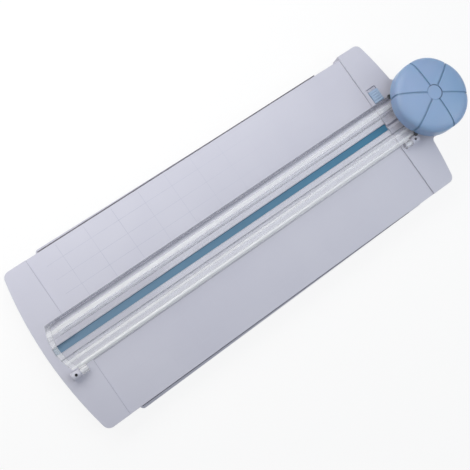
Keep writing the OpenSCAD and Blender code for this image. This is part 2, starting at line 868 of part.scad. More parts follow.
module guide_posts() {
    color(steel) for (side = [-1, 1]) {
        translate([head_x, side * post_y, slider_top_z]) cylinder(d = post_d, h = post_top - slider_top_z);
    }
}

// Points of a spring's centre line, and of the tube round it
function spring_centre(i) = [
    spring_r * cos(i * 360 / spring_rings),
    spring_r * sin(i * 360 / spring_rings),
    spring_wire / 2 + i * spring_rise
];
function side_angle(k) = (k + 0.5) * 360 / spring_sides;
function spring_point(i, k) = spring_centre(i) + spring_wire / 2 * [
    cos(side_angle(k)) * cos(i * 360 / spring_rings),
    cos(side_angle(k)) * sin(i * 360 / spring_rings),
    sin(side_angle(k))
];
function spring_side_faces(i, k) = let(
    a = i * spring_sides + k,
    b = i * spring_sides + (k + 1) % spring_sides,
    c = a + spring_sides,
    d = b + spring_sides
) [[a, c, b], [b, c, d]];

// A return spring: one unbroken wire
module spring() {
    points = [for (i = [0 : spring_steps], k = [0 : spring_sides - 1]) spring_point(i, k)];
    sides = [for (i = [0 : spring_steps - 1], k = [0 : spring_sides - 1]) each spring_side_faces(i, k)];
    last = spring_steps * spring_sides;
    start_cap = [for (k = [1 : spring_sides - 2]) [0, k, k + 1]];
    end_cap = [for (k = [1 : spring_sides - 2]) [last, last + k + 1, last + k]];
    polyhedron(points = points, faces = concat(sides, start_cap, end_cap));
    gaps = [for (i = [0 : spring_steps - spring_rings])
        norm(spring_centre(i + spring_rings) - spring_centre(i))];
    echo(spring_least_gap = min(gaps) - spring_wire);
}

module back_spring() {
    color(steel) translate([head_x, post_y, slider_deck]) spring();
}

module front_spring() {
    color(steel) translate([head_x, -post_y, slider_deck]) spring();
}

// Half section of the grip: an upright side that rounds over into a crowned top
module dome_section(r, height, side) {
    curve = [for (i = [0 : dome_steps]) let(a = 90 * i / dome_steps)
        [r * pow(cos(a), 2 / dome_power), side + (height - side) * pow(sin(a), 2 / dome_power)]];
    polygon(concat([[0, 0], [r, 0]], curve));
}

module dome_solid(inset) {
    translate([head_x, 0, rim_z]) rotate_extrude($fn = dome_sides)
        dome_section(dome_r - inset, dome_h - inset, dome_side);
}

// The grip's outer body: one lobe to each petal, each a sector of a dome set out from the axis
module petal_body(inset) {
    turn = 360 / petal_grooves;
    far = dome_d;
    reach = far * tan(turn / 2);
    wedge = [[-join, 0], [far - join, -reach], [far - join, reach]];
    for (i = [0 : petal_grooves - 1]) {
        translate([head_x, 0, rim_z]) rotate([0, 0, i * turn]) intersection() {
            translate([petal_out, 0, 0]) rotate_extrude($fn = dome_sides)
                dome_section(dome_r - petal_out - inset, dome_h - inset, dome_side);
            linear_extrude(dome_h) polygon(wedge);
        }
    }
}

// Slots that part the outer skin of the grip into petals
module petal_slots() {
    for (i = [0 : petal_grooves - 1]) {
        translate([head_x, 0, rim_z - through]) rotate([0, 0, (i + 0.5) * 360 / petal_grooves])
            translate([0, -petal_w / 2, 0]) cube([dome_d, petal_w, dome_h + 2 * through]);
    }
}

// Runs its children at the four screws of the grip
module at_grip_screws() {
    for (sx = [-1, 1], sy = [-1, 1]) {
        translate([head_x + sx * grip_screw_x, sy * grip_screw_y, 0]) children();
    }
}

module grip_shell() {
    color(blue_plastic) difference() {
        union() {
            difference() {
                union() {
                    petal_body(petal_d);
                    difference() {
                        petal_body(0);
                        petal_slots();
                    }
                }
                dome_solid(dome_t);
            }
            intersection() {
                union() {
                    at_grip_screws() translate([0, 0, grip_plate_top])
                        cylinder(d = grip_screw_d + 2 * boss_wall, h = dome_h);
                    translate([head_x, 0, cap_seat - boss_wall])
                        cylinder(d = cap_d + 2 * boss_wall, h = dome_t);
                }
                dome_solid(dome_t - join);
            }
        }
        at_grip_screws() translate([0, 0, grip_plate_top - through])
            cylinder(d = grip_screw_d, h = grip_screw_len + 2 * through);
        translate([head_x, 0, cap_seat]) cylinder(d = cap_d + 2 * cap_clear, h = dome_h);
        translate([head_x, 0, cap_seat - dome_h / 2]) cylinder(d = stem_d, h = dome_h);
    }
}

// The cap is a disc on a stem with a snap rim
module grip_cap() {
    snap = cap_seat - boss_wall;
    color(pale_blue) translate([head_x, 0, 0]) {
        translate([0, 0, cap_seat]) cylinder(d = cap_d, h = cap_t);
        translate([0, 0, snap - join]) cylinder(d = stem_d - 2 * cap_clear, h = boss_wall + 2 * join);
        translate([0, 0, snap - cap_t]) cylinder(d = stem_d + 2 * cap_clear, h = cap_t);
    }
}

module grip_plate() {
    tall = sleeve_h + sleeve_top;
    color(white_plastic) difference() {
        union() {
            translate([head_x, 0, grip_plate_z])
                cylinder(r = dome_r - dome_t - plate_fit, h = grip_plate_t, $fn = dome_sides);
            for (side = [-1, 1]) {
                translate([head_x, side * post_y, grip_plate_z])
                    cylinder(r = pocket_r + sleeve_wall, h = grip_plate_t + tall);
            }
        }
        for (side = [-1, 1]) {
            translate([head_x, side * post_y, grip_plate_z - through]) {
                cylinder(r = pocket_r, h = grip_plate_t + sleeve_h + through);
                cylinder(r = post_d / 2 + post_clear, h = grip_plate_t + tall + 2 * through);
            }
        }
        block([head_x - window_len / 2, -plate_window_w / 2, grip_plate_z - through],
              [head_x + window_len / 2, plate_window_w / 2, grip_plate_top + through]);
        at_grip_screws() translate([0, 0, grip_plate_z - through])
            cylinder(d = grip_screw_d, h = grip_plate_t + 2 * through);
        at_holder_screws() translate([0, 0, grip_plate_z - through])
            cylinder(d = grip_screw_d, h = grip_plate_t + 2 * through);
    }
}

module grip_screws() {
    color(steel) at_grip_screws() {
        translate([0, 0, grip_plate_z - grip_head_h]) cylinder(d = grip_head_d, h = grip_head_h);
        translate([0, 0, grip_plate_z - join])
            cylinder(d = grip_screw_d, h = grip_plate_t + grip_screw_len + join);
    }
}

// Runs its children at the two screws of the blade holder
module at_holder_screws() {
    for (sx = [-1, 1]) {
        translate([head_x + sx * (flange_len - grip_head_d) / 2, 0, 0]) children();
    }
}

module blade_holder() {
    cheek_in = bush_w / 2 + cheek_gap;
    foot_z = floor_top + press + press_gap;
    color(white_plastic) difference() {
        union() {
            block([head_x - flange_len / 2, -flange_w / 2, grip_plate_top],
                  [head_x + flange_len / 2, flange_w / 2, grip_plate_top + flange_t]);
            for (side = [-1, 1]) {
                near = side > 0 ? cheek_in : -cheek_in - cheek_t;
                block([head_x - cheek_w / 2, near, foot_z],
                      [head_x + cheek_w / 2, near + cheek_t, grip_plate_top + flange_t]);
            }
        }
        block([head_x - window_len / 2, -cheek_in, foot_z - through],
              [head_x + window_len / 2, cheek_in, grip_plate_top + flange_t + through]);
        bar_y(head_x, -flange_w, axle_z, axle_d / 2, 2 * flange_w);
        at_holder_screws() translate([0, 0, grip_plate_top - through])
            cylinder(d = grip_screw_d, h = flange_t + 2 * through);
    }
}

module holder_screws() {
    color(steel) at_holder_screws() {
        translate([0, 0, grip_plate_z]) cylinder(d = grip_screw_d, h = grip_plate_t + flange_t);
        translate([0, 0, grip_plate_top + flange_t]) cylinder(d = grip_head_d, h = grip_head_h);
    }
}

module blade_axle() {
    reach = bush_w / 2 + cheek_gap + cheek_t;
    color(steel) {
        bar_y(head_x, -reach, axle_z, axle_d / 2, 2 * reach + clip_t);
        bar_y(head_x, -reach - clip_t, axle_z, clip_d / 2, clip_t);
    }
}

module axle_clip() {
    reach = bush_w / 2 + cheek_gap + cheek_t;
    color(dark_steel) difference() {
        bar_y(head_x, reach, axle_z, clip_d / 2, clip_t);
        bar_y(head_x, reach - through, axle_z, axle_d / 2, clip_t + 2 * through);
    }
}

// The blade is a disc ground to an edge on both faces
module blade() {
    flat_r = blade_d / 2 - blade_edge;
    color(steel) translate([head_x, 0, axle_z]) rotate([90, 0, 0]) rotate_extrude($fn = dome_sides) polygon([
        [bush_d / 2, -blade_t / 2],
        [flat_r, -blade_t / 2],
        [blade_d / 2, -edge_t / 2],
        [blade_d / 2, edge_t / 2],
        [flat_r, blade_t / 2],
        [bush_d / 2, blade_t / 2]
    ]);
}

module blade_bush() {
    color(dark_steel) difference() {
        bar_y(head_x, -bush_w / 2, axle_z, bush_d / 2, bush_w);
        bar_y(head_x, -bush_w, axle_z, axle_d / 2 + axle_clear, 2 * bush_w);
    }
}

base();
cutting_mat();
feet();
left_hinge_pin();
right_hinge_pin();
arm_pivots();
back_arm();
front_arm();
rail_catch();
rail();
rail_end_stop();
stop_screw();
slider();
guide_posts();
back_spring();
front_spring();
grip_shell();
grip_cap();
grip_plate();
grip_screws();
blade_holder();
holder_screws();
blade_axle();
axle_clip();
blade();
blade_bush();
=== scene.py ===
"""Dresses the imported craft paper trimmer: finishes, printed grid, fittings, studio and camera."""

import json
import logging
import math
from dataclasses import dataclass
from enum import Enum
from typing import Iterable, Sequence

import bpy
from mathutils import Matrix, Vector


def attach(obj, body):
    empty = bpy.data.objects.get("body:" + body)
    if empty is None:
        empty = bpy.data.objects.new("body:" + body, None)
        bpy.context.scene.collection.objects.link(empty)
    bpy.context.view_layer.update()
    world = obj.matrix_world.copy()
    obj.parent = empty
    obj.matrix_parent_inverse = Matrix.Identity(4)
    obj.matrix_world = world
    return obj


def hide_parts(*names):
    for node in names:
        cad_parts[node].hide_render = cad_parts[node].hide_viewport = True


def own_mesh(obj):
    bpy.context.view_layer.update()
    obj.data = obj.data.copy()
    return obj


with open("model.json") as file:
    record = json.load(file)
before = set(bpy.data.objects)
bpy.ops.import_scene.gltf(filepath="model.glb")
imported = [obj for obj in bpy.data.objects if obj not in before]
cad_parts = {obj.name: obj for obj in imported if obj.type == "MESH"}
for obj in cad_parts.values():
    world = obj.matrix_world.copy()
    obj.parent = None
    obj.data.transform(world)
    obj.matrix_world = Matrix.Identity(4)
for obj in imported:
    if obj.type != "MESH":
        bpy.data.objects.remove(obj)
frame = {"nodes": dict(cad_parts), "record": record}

log = logging.getLogger("trimmer")

Colour = tuple[float, float, float]
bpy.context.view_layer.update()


class Grain(Enum):
    """Surface grain of a moulded piece: cells to a metre and depth in metres."""

    SATIN = (2600.0, 0.00003)
    PEBBLED = (1300.0, 0.00008)


class Lay(Enum):
    """Direction of the fine lines in a metal: how far the pattern is drawn together on each axis."""

    ALONG_X = (1.0, 40.0, 40.0)
    ALONG_Z = (40.0, 40.0, 1.0)


class NodeTree:
    """A cleared node tree, with short calls to add and join nodes."""

    def __init__(self, tree: bpy.types.NodeTree) -> None:
        """Takes a tree and clears it."""
        self.tree = tree
        self.tree.nodes.clear()

    def add(self, kind: str, **settings: object) -> bpy.types.Node:
        """Adds a node.

        Args:
            kind: Blender's name of the node type.
            **settings: Attributes to set on the node.

        Returns:
            The new node.
        """
        node = self.tree.nodes.new(kind)
        for key, value in settings.items():
            setattr(node, key, value)
        return node

    def link(self, out: bpy.types.NodeSocket, into: bpy.types.NodeSocket) -> None:
        """Joins an output to an input."""
        self.tree.links.new(out, into)

    def math(
        self, operation: str, first: bpy.types.NodeSocket, second: bpy.types.NodeSocket
    ) -> bpy.types.NodeSocket:
        """Joins two numbers by one operation.

        Args:
            operation: Blender's name of the operation.
            first: First number.
            second: Second number.

        Returns:
            The result's socket.
        """
        node = self.add("ShaderNodeMath", operation=operation)
        self.link(first, node.inputs[0])
        self.link(second, node.inputs[1])
        return node.outputs["Value"]

    def largest(self, values: Iterable[bpy.types.NodeSocket]) -> bpy.types.NodeSocket:
        """The largest of several numbers."""
        most, *rest = values
        for value in rest:
            most = self.math("MAXIMUM", most, value)
        return most

    def mix(
        self, share: bpy.types.NodeSocket, base: bpy.types.NodeSocket, over: bpy.types.NodeSocket
    ) -> bpy.types.NodeSocket:
        """Lays one shader over another by a share.

        Args:
            share: Where the upper shader shows.
            base: Shader below.
            over: Shader above.

        Returns:
            The mixed shader's socket.
        """
        node = self.add("ShaderNodeMixShader")
        for out, into in zip((share, base, over), node.inputs):
            self.link(out, into)
        return node.outputs["Shader"]


class NodeSheet(NodeTree):
    """The node tree of one material, with short calls for the nodes that the finishes share."""

    def __init__(self, name: str) -> None:
        """Starts an empty material with an output.

        Args:
            name: Name of the material.
        """
        self.material = bpy.data.materials.new(name)
        self.material.use_nodes = True
        super().__init__(self.material.node_tree)
        self.output = self.add("ShaderNodeOutputMaterial")
        self.coords = self.add("ShaderNodeTexCoord").outputs["Object"]
        self.axes = self.add("ShaderNodeSeparateXYZ")
        self.link(self.coords, self.axes.inputs["Vector"])

    def stretched(self, scale: Sequence[float]) -> bpy.types.NodeSocket:
        """Object coordinates multiplied axis by axis.

        Args:
            scale: Factors for X, Y and Z.

        Returns:
            The vector socket.
        """
        mapping = self.add("ShaderNodeMapping")
        mapping.inputs["Scale"].default_value = scale
        self.link(self.coords, mapping.inputs["Vector"])
        return mapping.outputs["Vector"]

    def noise(
        self, scale: float, detail: float = 2.0, vector: bpy.types.NodeSocket | None = None
    ) -> bpy.types.NodeSocket:
        """A noise pattern.

        Args:
            scale: Cells to a metre.
            detail: Octaves.
            vector: Coordinates to read, Object coordinates by default.

        Returns:
            The pattern's value socket.
        """
        node = self.add("ShaderNodeTexNoise")
        node.inputs["Scale"].default_value = scale
        node.inputs["Detail"].default_value = detail
        self.link(vector or self.coords, node.inputs["Vector"])
        return node.outputs["Fac"]

    def ramp(
        self, value: bpy.types.NodeSocket, low: float, high: float, dark: Colour, light: Colour
    ) -> bpy.types.NodeSocket:
        """Turns a value into a colour between two tones.

        Args:
            value: The value to read.
            low: Value that gives the dark tone.
            high: Value that gives the light tone.
            dark: First tone.
            light: Second tone.

        Returns:
            The colour socket.
        """
        node = self.add("ShaderNodeValToRGB")
        first, last = node.color_ramp.elements
        first.position, last.position = low, high
        first.color, last.color = (*dark, 1.0), (*light, 1.0)
        self.link(value, node.inputs["Fac"])
        return node.outputs["Color"]

    def between(
        self, value: bpy.types.NodeSocket, start: float, end: float, low: float = 0.0, high: float = 1.0
    ) -> bpy.types.NodeSocket:
        """Maps one range of numbers onto another.

        Args:
            value: The number to read.
            start: Number that gives the low end.
            end: Number that gives the high end.
            low: Number at the start.
            high: Number at the end.

        Returns:
            The number's socket.
        """
        node = self.add("ShaderNodeMapRange")
        for name, number in (("From Min", start), ("From Max", end), ("To Min", low), ("To Max", high)):
            node.inputs[name].default_value = number
        self.link(value, node.inputs["Value"])
        return node.outputs["Result"]

    def blend(
        self, share: bpy.types.NodeSocket, base: bpy.types.NodeSocket, over: Colour
    ) -> bpy.types.NodeSocket:
        """Lays a colour over another by a share.

        Args:
            share: Where the colour shows.
            base: Colour below.
            over: Colour above.

        Returns:
            The blended colour's socket.
        """
        mix = self.add("ShaderNodeMix", data_type="RGBA")
        self.link(share, mix.inputs["Factor"])
        self.link(base, mix.inputs["A"])
        mix.inputs["B"].default_value = (*over, 1.0)
        return mix.outputs["Result"]

    def span(self, value: bpy.types.NodeSocket, low: float, high: float) -> bpy.types.NodeSocket:
        """Maps a 0 to 1 pattern onto a range of numbers."""
        return self.between(value, 0.0, 1.0, low, high)

    def bump(
        self, height: bpy.types.NodeSocket, strength: float, depth: float, round_off: float = 0.0
    ) -> bpy.types.NodeSocket:
        """A bumped normal, on edges that are rounded off.

        Args:
            height: Pattern read as height.
            strength: Share of the bump that shows.
            depth: Height of the pattern in metres.
            round_off: Radius of the edges in metres.

        Returns:
            The normal's socket.
        """
        node = self.add("ShaderNodeBump")
        node.inputs["Strength"].default_value = strength
        node.inputs["Distance"].default_value = depth
        self.link(height, node.inputs["Height"])
        if round_off:
            edge = self.add("ShaderNodeBevel", samples=4)
            edge.inputs["Radius"].default_value = round_off
            self.link(edge.outputs["Normal"], node.inputs["Normal"])
        return node.outputs["Normal"]

    def principled(self, **values: object) -> bpy.types.Node:
        """A Principled shader on the material's output.

        Args:
            **values: Socket names, with _ for a space, and their plain values.

        Returns:
            The shader.
        """
        shader = self.add("ShaderNodeBsdfPrincipled")
        for key, value in values.items():
            shader.inputs[key.replace("_", " ")].default_value = value
        self.link(shader.outputs["BSDF"], self.output.inputs["Surface"])
        return shader


@dataclass(frozen=True)
class MouldedPlastic:
    """Opaque moulded plastic with a slight flow in its colour and a fine grain."""

    name: str
    tone: Colour
    shade: Colour
    roughness: float = 0.42
    grain: Grain = Grain.SATIN
    round_off: float = 0.0004
    glow: float = 0.0
    rubbed: float = 0.07

    def colour(self, sheet: NodeSheet) -> bpy.types.NodeSocket:
        """The plastic's colour, with its slight flow."""
        return sheet.ramp(sheet.noise(14.0, 3.0), 0.35, 0.7, self.shade, self.tone)

    def make(self) -> bpy.types.Material:
        """Builds the material."""
        sheet = NodeSheet(self.name)
        shader = sheet.principled(IOR=1.5, Subsurface_Weight=self.glow, Subsurface_Scale=0.002)
        sheet.link(self.colour(sheet), shader.inputs["Base Color"])
        rub = sheet.noise(60.0, 4.0)
        rough = sheet.span(rub, self.roughness - self.rubbed, self.roughness + self.rubbed)
        sheet.link(rough, shader.inputs["Roughness"])
        cells, depth = self.grain.value
        sheet.link(sheet.bump(sheet.noise(cells), 0.5, depth, self.round_off), shader.inputs["Normal"])
        return sheet.material


@dataclass(frozen=True)
class GripPlastic(MouldedPlastic):
    """Moulded plastic of the palm grip, with painted shade along its grooves and on the far side of its cap
    ring.
    """

    axis_x: float = 0.0
    # The groove and ring tones are painted shade: darker where shade falls in the grooves and on the ring's
    # far side.
    groove: Colour = (0.12, 0.25, 0.37)
    groove_shade_share: float = 0.4
    groove_half: float = 0.0006
    groove_soft: float = 0.00132
    turns: tuple[float, ...] = (30.0, 90.0, 150.0)
    ring: Colour = (0.04, 0.09, 0.18)
    ring_shade_shares: tuple[float, float] = (0.1, 0.9)
    ring_r: float = 0.0066
    ring_turn: float = 0.003

    def from_axis(self, sheet: NodeSheet) -> bpy.types.NodeSocket:
        """Object coordinates from the grip's axis, without the height."""
        mapping = sheet.add("ShaderNodeMapping")
        mapping.inputs["Location"].default_value = (-self.axis_x, 0.0, 0.0)
        mapping.inputs["Scale"].default_value = (1.0, 1.0, 0.0)
        sheet.link(sheet.coords, mapping.inputs["Vector"])
        return mapping.outputs["Vector"]

    def grooves(self, sheet: NodeSheet, plan: bpy.types.NodeSocket) -> bpy.types.NodeSocket:
        """Share of the painted groove shade, along lines through the axis.

        Args:
            sheet: The material's sheet.
            plan: Coordinates from the axis.

        Returns:
            The share's socket.
        """
        shares = []
        for angle in map(math.radians, self.turns):
            side = sheet.add("ShaderNodeVectorMath", operation="DOT_PRODUCT")
            side.inputs[1].default_value = (-math.sin(angle), math.cos(angle), 0.0)
            sheet.link(plan, side.inputs[0])
            off = sheet.add("ShaderNodeMath", operation="ABSOLUTE")
            sheet.link(side.outputs["Value"], off.inputs[0])
            near = sheet.between(
                off.outputs["Value"], self.groove_half, self.groove_soft, self.groove_shade_share, 0.0
            )
            shares.append(near)
        return sheet.largest(shares)

    def ring_shade_band(
        self, sheet: NodeSheet, plan: bpy.types.NodeSocket, radius: bpy.types.NodeSocket
    ) -> bpy.types.NodeSocket:
        """Share of the painted ring shade, in a band that is darker on the far side.

        Args:
            sheet: The material's sheet.
            plan: Coordinates from the axis.
            radius: Distance from the axis.

        Returns:
            The share's socket.
        """
        inner = sheet.between(radius, self.ring_r - 0.0007, self.ring_r - 0.0001)
        outer = sheet.between(radius, self.ring_r + 0.0006, self.ring_r + 0.0001)
        facing = sheet.add("ShaderNodeSeparateXYZ")
        sheet.link(plan, facing.inputs["Vector"])
        turned = sheet.between(facing.outputs["X"], -self.ring_turn, self.ring_turn, *self.ring_shade_shares)
        return sheet.math("MULTIPLY", sheet.math("MINIMUM", inner, outer), turned)

    def colour(self, sheet: NodeSheet) -> bpy.types.NodeSocket:
        """The plastic's colour, with painted shade along six grooves and on one side of the cap ring."""
        plan = self.from_axis(sheet)
        out = sheet.add("ShaderNodeVectorMath", operation="LENGTH")
        sheet.link(plan, out.inputs[0])
        radius = out.outputs["Value"]
        outside = sheet.between(radius, self.ring_r, self.ring_r + 0.0005)
        share = sheet.math("MULTIPLY", self.grooves(sheet, plan), outside)
        groove_shaded = sheet.blend(share, super().colour(sheet), self.groove)
        return sheet.blend(self.ring_shade_band(sheet, plan, radius), groove_shaded, self.ring)


@dataclass(frozen=True)
class ClearPlastic:
    """Clear drawn plastic that lets lamps through, with painted shade at its edges, walls and shaded bands,
    and painted highlight in bands and in its end wall.
    """

    name: str
    tint: Colour
    # The wall tone is the grey of painted shade on upright walls, at edges and in shaded bands.
    wall: Colour
    passed: Colour
    # The next two tables give places across the rail and shares: first of painted shade, then of painted
    # highlight.
    painted_shades: tuple[tuple[float, float], ...]
    painted_highlights: tuple[tuple[float, float], ...]
    half: float
    # Ends along X of the painted highlight: half strength at the first, full at the second.
    highlight_half_end: float
    highlight_full_end: float
    bow_x: float
    bow_wall: float
    edge: float = 0.0005
    roughness: float = 0.05
    ior: float = 1.49
    gloss: float = 0.6

    def steepness(self, sheet: NodeSheet) -> bpy.types.NodeSocket:
        """0 in the level faces, more in the upright walls."""
        facing = sheet.add("ShaderNodeSeparateXYZ")
        sheet.link(sheet.add("ShaderNodeTexCoord").outputs["Normal"], facing.inputs["Vector"])
        level = sheet.add("ShaderNodeMath", operation="ABSOLUTE")
        sheet.link(facing.outputs["Z"], level.inputs[0])
        return sheet.between(level.outputs["Value"], 0.8, 0.2, 0.0, 0.5)

    def edges(self, sheet: NodeSheet) -> bpy.types.NodeSocket:
        """0 away from an edge, 1 on it."""
        rounded = sheet.add("ShaderNodeBevel", samples=6)
        rounded.inputs["Radius"].default_value = self.edge
        turn = sheet.add("ShaderNodeVectorMath", operation="DOT_PRODUCT")
        sheet.link(rounded.outputs["Normal"], turn.inputs[0])
        sheet.link(sheet.add("ShaderNodeNewGeometry").outputs["Normal"], turn.inputs[1])
        return sheet.between(turn.outputs["Value"], 0.99, 0.8)

    def across(self, sheet: NodeSheet, bands: tuple[tuple[float, float], ...]) -> bpy.types.NodeSocket:
        """A share that changes in bands across the rail.

        Args:
            sheet: The material's sheet.
            bands: Places across the rail and the share at each.

        Returns:
            The share's socket.
        """
        spread = sheet.between(sheet.axes.outputs["Y"], -self.half, self.half)
        ramp = sheet.add("ShaderNodeValToRGB")
        stops = ramp.color_ramp.elements
        while len(stops) < len(bands):
            stops.new(1.0)
        for stop, (y, share) in zip(stops, bands):
            stop.position = (y + self.half) / (2 * self.half)
            stop.color = (share, share, share, 1.0)
        sheet.link(spread, ramp.inputs["Fac"])
        return ramp.outputs["Color"]

    def end_highlight(self, sheet: NodeSheet) -> bpy.types.NodeSocket:
        """Painted highlight in the bowed wall that closes the rail's end."""
        plan = sheet.add("ShaderNodeCombineXYZ")
        for axis in ("X", "Y"):
            sheet.link(sheet.axes.outputs[axis], plan.inputs[axis])
        out = sheet.add("ShaderNodeVectorMath", operation="DISTANCE")
        out.inputs[1].default_value = (self.bow_x, 0.0, 0.0)
        sheet.link(plan.outputs["Vector"], out.inputs[0])
        in_wall = sheet.between(out.outputs["Value"], self.bow_wall, self.bow_wall + 0.0005)
        at_end = sheet.between(sheet.axes.outputs["X"], self.highlight_full_end, self.highlight_full_end - 0.002, 0.0, 0.2)
        return sheet.math("MULTIPLY", in_wall, at_end)

    def clearness(self, sheet: NodeSheet) -> bpy.types.NodeSocket:
        """1 where the plastic is clear, less where painted highlight shows: in bands, stronger towards the
        left end, and in the end wall.
        """
        along = sheet.between(sheet.axes.outputs["X"], self.highlight_half_end, self.highlight_full_end, 0.5, 1.0)
        bands = sheet.math("MULTIPLY", along, self.across(sheet, self.painted_highlights))
        highlight = sheet.math("MAXIMUM", bands, self.end_highlight(sheet))
        return sheet.between(highlight, 0.0, 1.0, 1.0, 0.0)

    def make(self) -> bpy.types.Material:
        """Builds the material."""
        sheet = NodeSheet(self.name)
        shader = sheet.principled(IOR=self.ior, Specular_IOR_Level=self.gloss)
        # Painted highlight: less clear, so whiter, in the highlight bands and the end wall.
        sheet.link(self.clearness(sheet), shader.inputs["Transmission Weight"])
        drawn = sheet.noise(1.0, 2.0, sheet.stretched((0.8, 420.0, 420.0)))
        # Painted shade: the grey wall tone on upright walls, at edges and in bands across the rail.
        painted_shades = (self.steepness(sheet), self.edges(sheet), self.across(sheet, self.painted_shades))
        share = sheet.largest((sheet.span(drawn, 0.0, 0.3), *painted_shades))
        sheet.link(sheet.ramp(share, 0.1, 1.0, self.tint, self.wall), shader.inputs["Base Color"])
        scuffs = sheet.noise(120.0, 5.0)
        waves = sheet.noise(1.0, 0.0, sheet.stretched((12.0, 90.0, 90.0)))
        sheet.link(sheet.span(scuffs, self.roughness, self.roughness + 0.04), shader.inputs["Roughness"])
        sheet.link(sheet.bump(waves, 1.0, 0.00001), shader.inputs["Normal"])
        lamps = sheet.add("ShaderNodeBsdfTransparent")
        lamps.inputs["Color"].default_value = (*self.passed, 1.0)
        path = sheet.add("ShaderNodeLightPath").outputs
        surface = shader.outputs["BSDF"]
        for ray in ("Is Shadow Ray", "Is Diffuse Ray"):
            surface = sheet.mix(path[ray], surface, lamps.outputs["BSDF"])
        sheet.link(surface, sheet.output.inputs["Surface"])
        return sheet.material


@dataclass(frozen=True)
class ScoredStrip:
    """The self-healing cutting strip: matt, scored along the cut, with a painted grey sheen that grows
    towards its left end.
    """

    name: str
    fresh: Colour
    # Grey of the painted sheen.
    sheen_grey: Colour
    scored: Colour
    sheen_start: float
    sheen_full_end: float

    def make(self) -> bpy.types.Material:
        """Builds the material."""
        sheet = NodeSheet(self.name)
        shader = sheet.principled(IOR=1.48)
        shade = tuple(0.88 * value for value in self.fresh)
        patches = sheet.ramp(sheet.noise(30.0, 3.0), 0.35, 0.65, shade, self.fresh)
        # Painted sheen: the strip turns greyer towards its left end.
        along = sheet.between(sheet.axes.outputs["X"], self.sheen_start, self.sheen_full_end)
        sheen_grey = sheet.blend(along, patches, self.sheen_grey)
        scores = sheet.noise(1.0, 2.0, sheet.stretched((9.0, 2600.0, 1.0)))
        mask = sheet.ramp(scores, 0.6, 0.72, (0.0, 0.0, 0.0), (0.35, 0.35, 0.35))
        colour = sheet.blend(mask, sheen_grey, self.scored)
        sheet.link(colour, shader.inputs["Base Color"])
        sheet.link(sheet.span(scores, 0.5, 0.7), shader.inputs["Roughness"])
        sheet.link(sheet.bump(scores, 0.4, 0.00006), shader.inputs["Normal"])
        return sheet.material


@dataclass(frozen=True)
class DrawnMetal:
    """Metal with fine lines along one axis."""

    name: str
    tone: Colour
    shade: Colour
    roughness: float
    lay: Lay = Lay.ALONG_X

    def make(self) -> bpy.types.Material:
        """Builds the material."""
        sheet = NodeSheet(self.name)
        shader = sheet.principled(Metallic=1.0)
        lines = sheet.noise(60.0, 4.0, sheet.stretched(self.lay.value))
        sheet.link(sheet.ramp(lines, 0.3, 0.7, self.shade, self.tone), shader.inputs["Base Color"])
        sheet.link(sheet.span(lines, self.roughness - 0.08, self.roughness + 0.1), shader.inputs["Roughness"])
        sheet.link(sheet.bump(lines, 0.3, 0.00002, 0.0002), shader.inputs["Normal"])
        return sheet.material


@dataclass(frozen=True)
class PinSteel:
    """Pin stock that is bright along its run and near black at its held end."""

    name: str
    bright: Colour
    black: Colour
    left_end: float
    right_end: float

    def make(self) -> bpy.types.Material:
        """Builds the material."""
        sheet = NodeSheet(self.name)
        shader = sheet.principled(IOR=1.5)
        left = sheet.add("ShaderNodeMath", operation="LESS_THAN")
        left.inputs[1].default_value = self.left_end
        right = sheet.add("ShaderNodeMath", operation="GREATER_THAN")
        right.inputs[1].default_value = self.right_end
        for side in (left, right):
            sheet.link(sheet.axes.outputs["X"], side.inputs[0])
        held = sheet.math("MAXIMUM", left.outputs["Value"], right.outputs["Value"])
        lines = sheet.noise(60.0, 4.0, sheet.stretched(Lay.ALONG_X.value))
        dull = tuple(0.85 * value for value in self.bright)
        run = sheet.ramp(lines, 0.3, 0.7, dull, self.bright)
        sheet.link(sheet.blend(held, run, self.black), shader.inputs["Base Color"])
        sheet.link(sheet.span(lines, 0.5, 0.65), shader.inputs["Roughness"])
        return sheet.material


@dataclass(frozen=True)
class GroundSteel:
    """Blade steel with ring-shaped grinding marks about its own axis."""

    name: str
    tone: Colour
    shade: Colour
    centre: tuple[float, float, float]

    def make(self) -> bpy.types.Material:
        """Builds the material."""
        sheet = NodeSheet(self.name)
        shader = sheet.principled(Metallic=1.0)
        mapping = sheet.add("ShaderNodeMapping")
        mapping.inputs["Location"].default_value = [-value for value in self.centre]
        sheet.link(sheet.coords, mapping.inputs["Vector"])
        rings = sheet.add("ShaderNodeTexWave", wave_type="RINGS", rings_direction="Y")
        rings.inputs["Scale"].default_value = 420.0
        rings.inputs["Distortion"].default_value = 1.5
        sheet.link(mapping.outputs["Vector"], rings.inputs["Vector"])
        marks = rings.outputs["Fac"]
        sheet.link(sheet.ramp(marks, 0.1, 0.9, self.shade, self.tone), shader.inputs["Base Color"])
        sheet.link(sheet.span(marks, 0.16, 0.3), shader.inputs["Roughness"])
        sheet.link(sheet.bump(marks, 0.15, 0.00001), shader.inputs["Normal"])
        return sheet.material


@dataclass(frozen=True)
class Rubber:
    """Matt rubber with a dusty bloom."""

    name: str
    tone: Colour
    bloom: Colour

    def make(self) -> bpy.types.Material:
        """Builds the material."""
        sheet = NodeSheet(self.name)
        shader = sheet.principled(IOR=1.45)
        dust = sheet.noise(220.0, 4.0)
        sheet.link(sheet.ramp(dust, 0.4, 0.75, self.tone, self.bloom), shader.inputs["Base Color"])
        sheet.link(sheet.span(dust, 0.7, 0.9), shader.inputs["Roughness"])
        sheet.link(sheet.bump(sheet.noise(1800.0), 0.5, 0.00006, 0.0003), shader.inputs["Normal"])
        return sheet.material


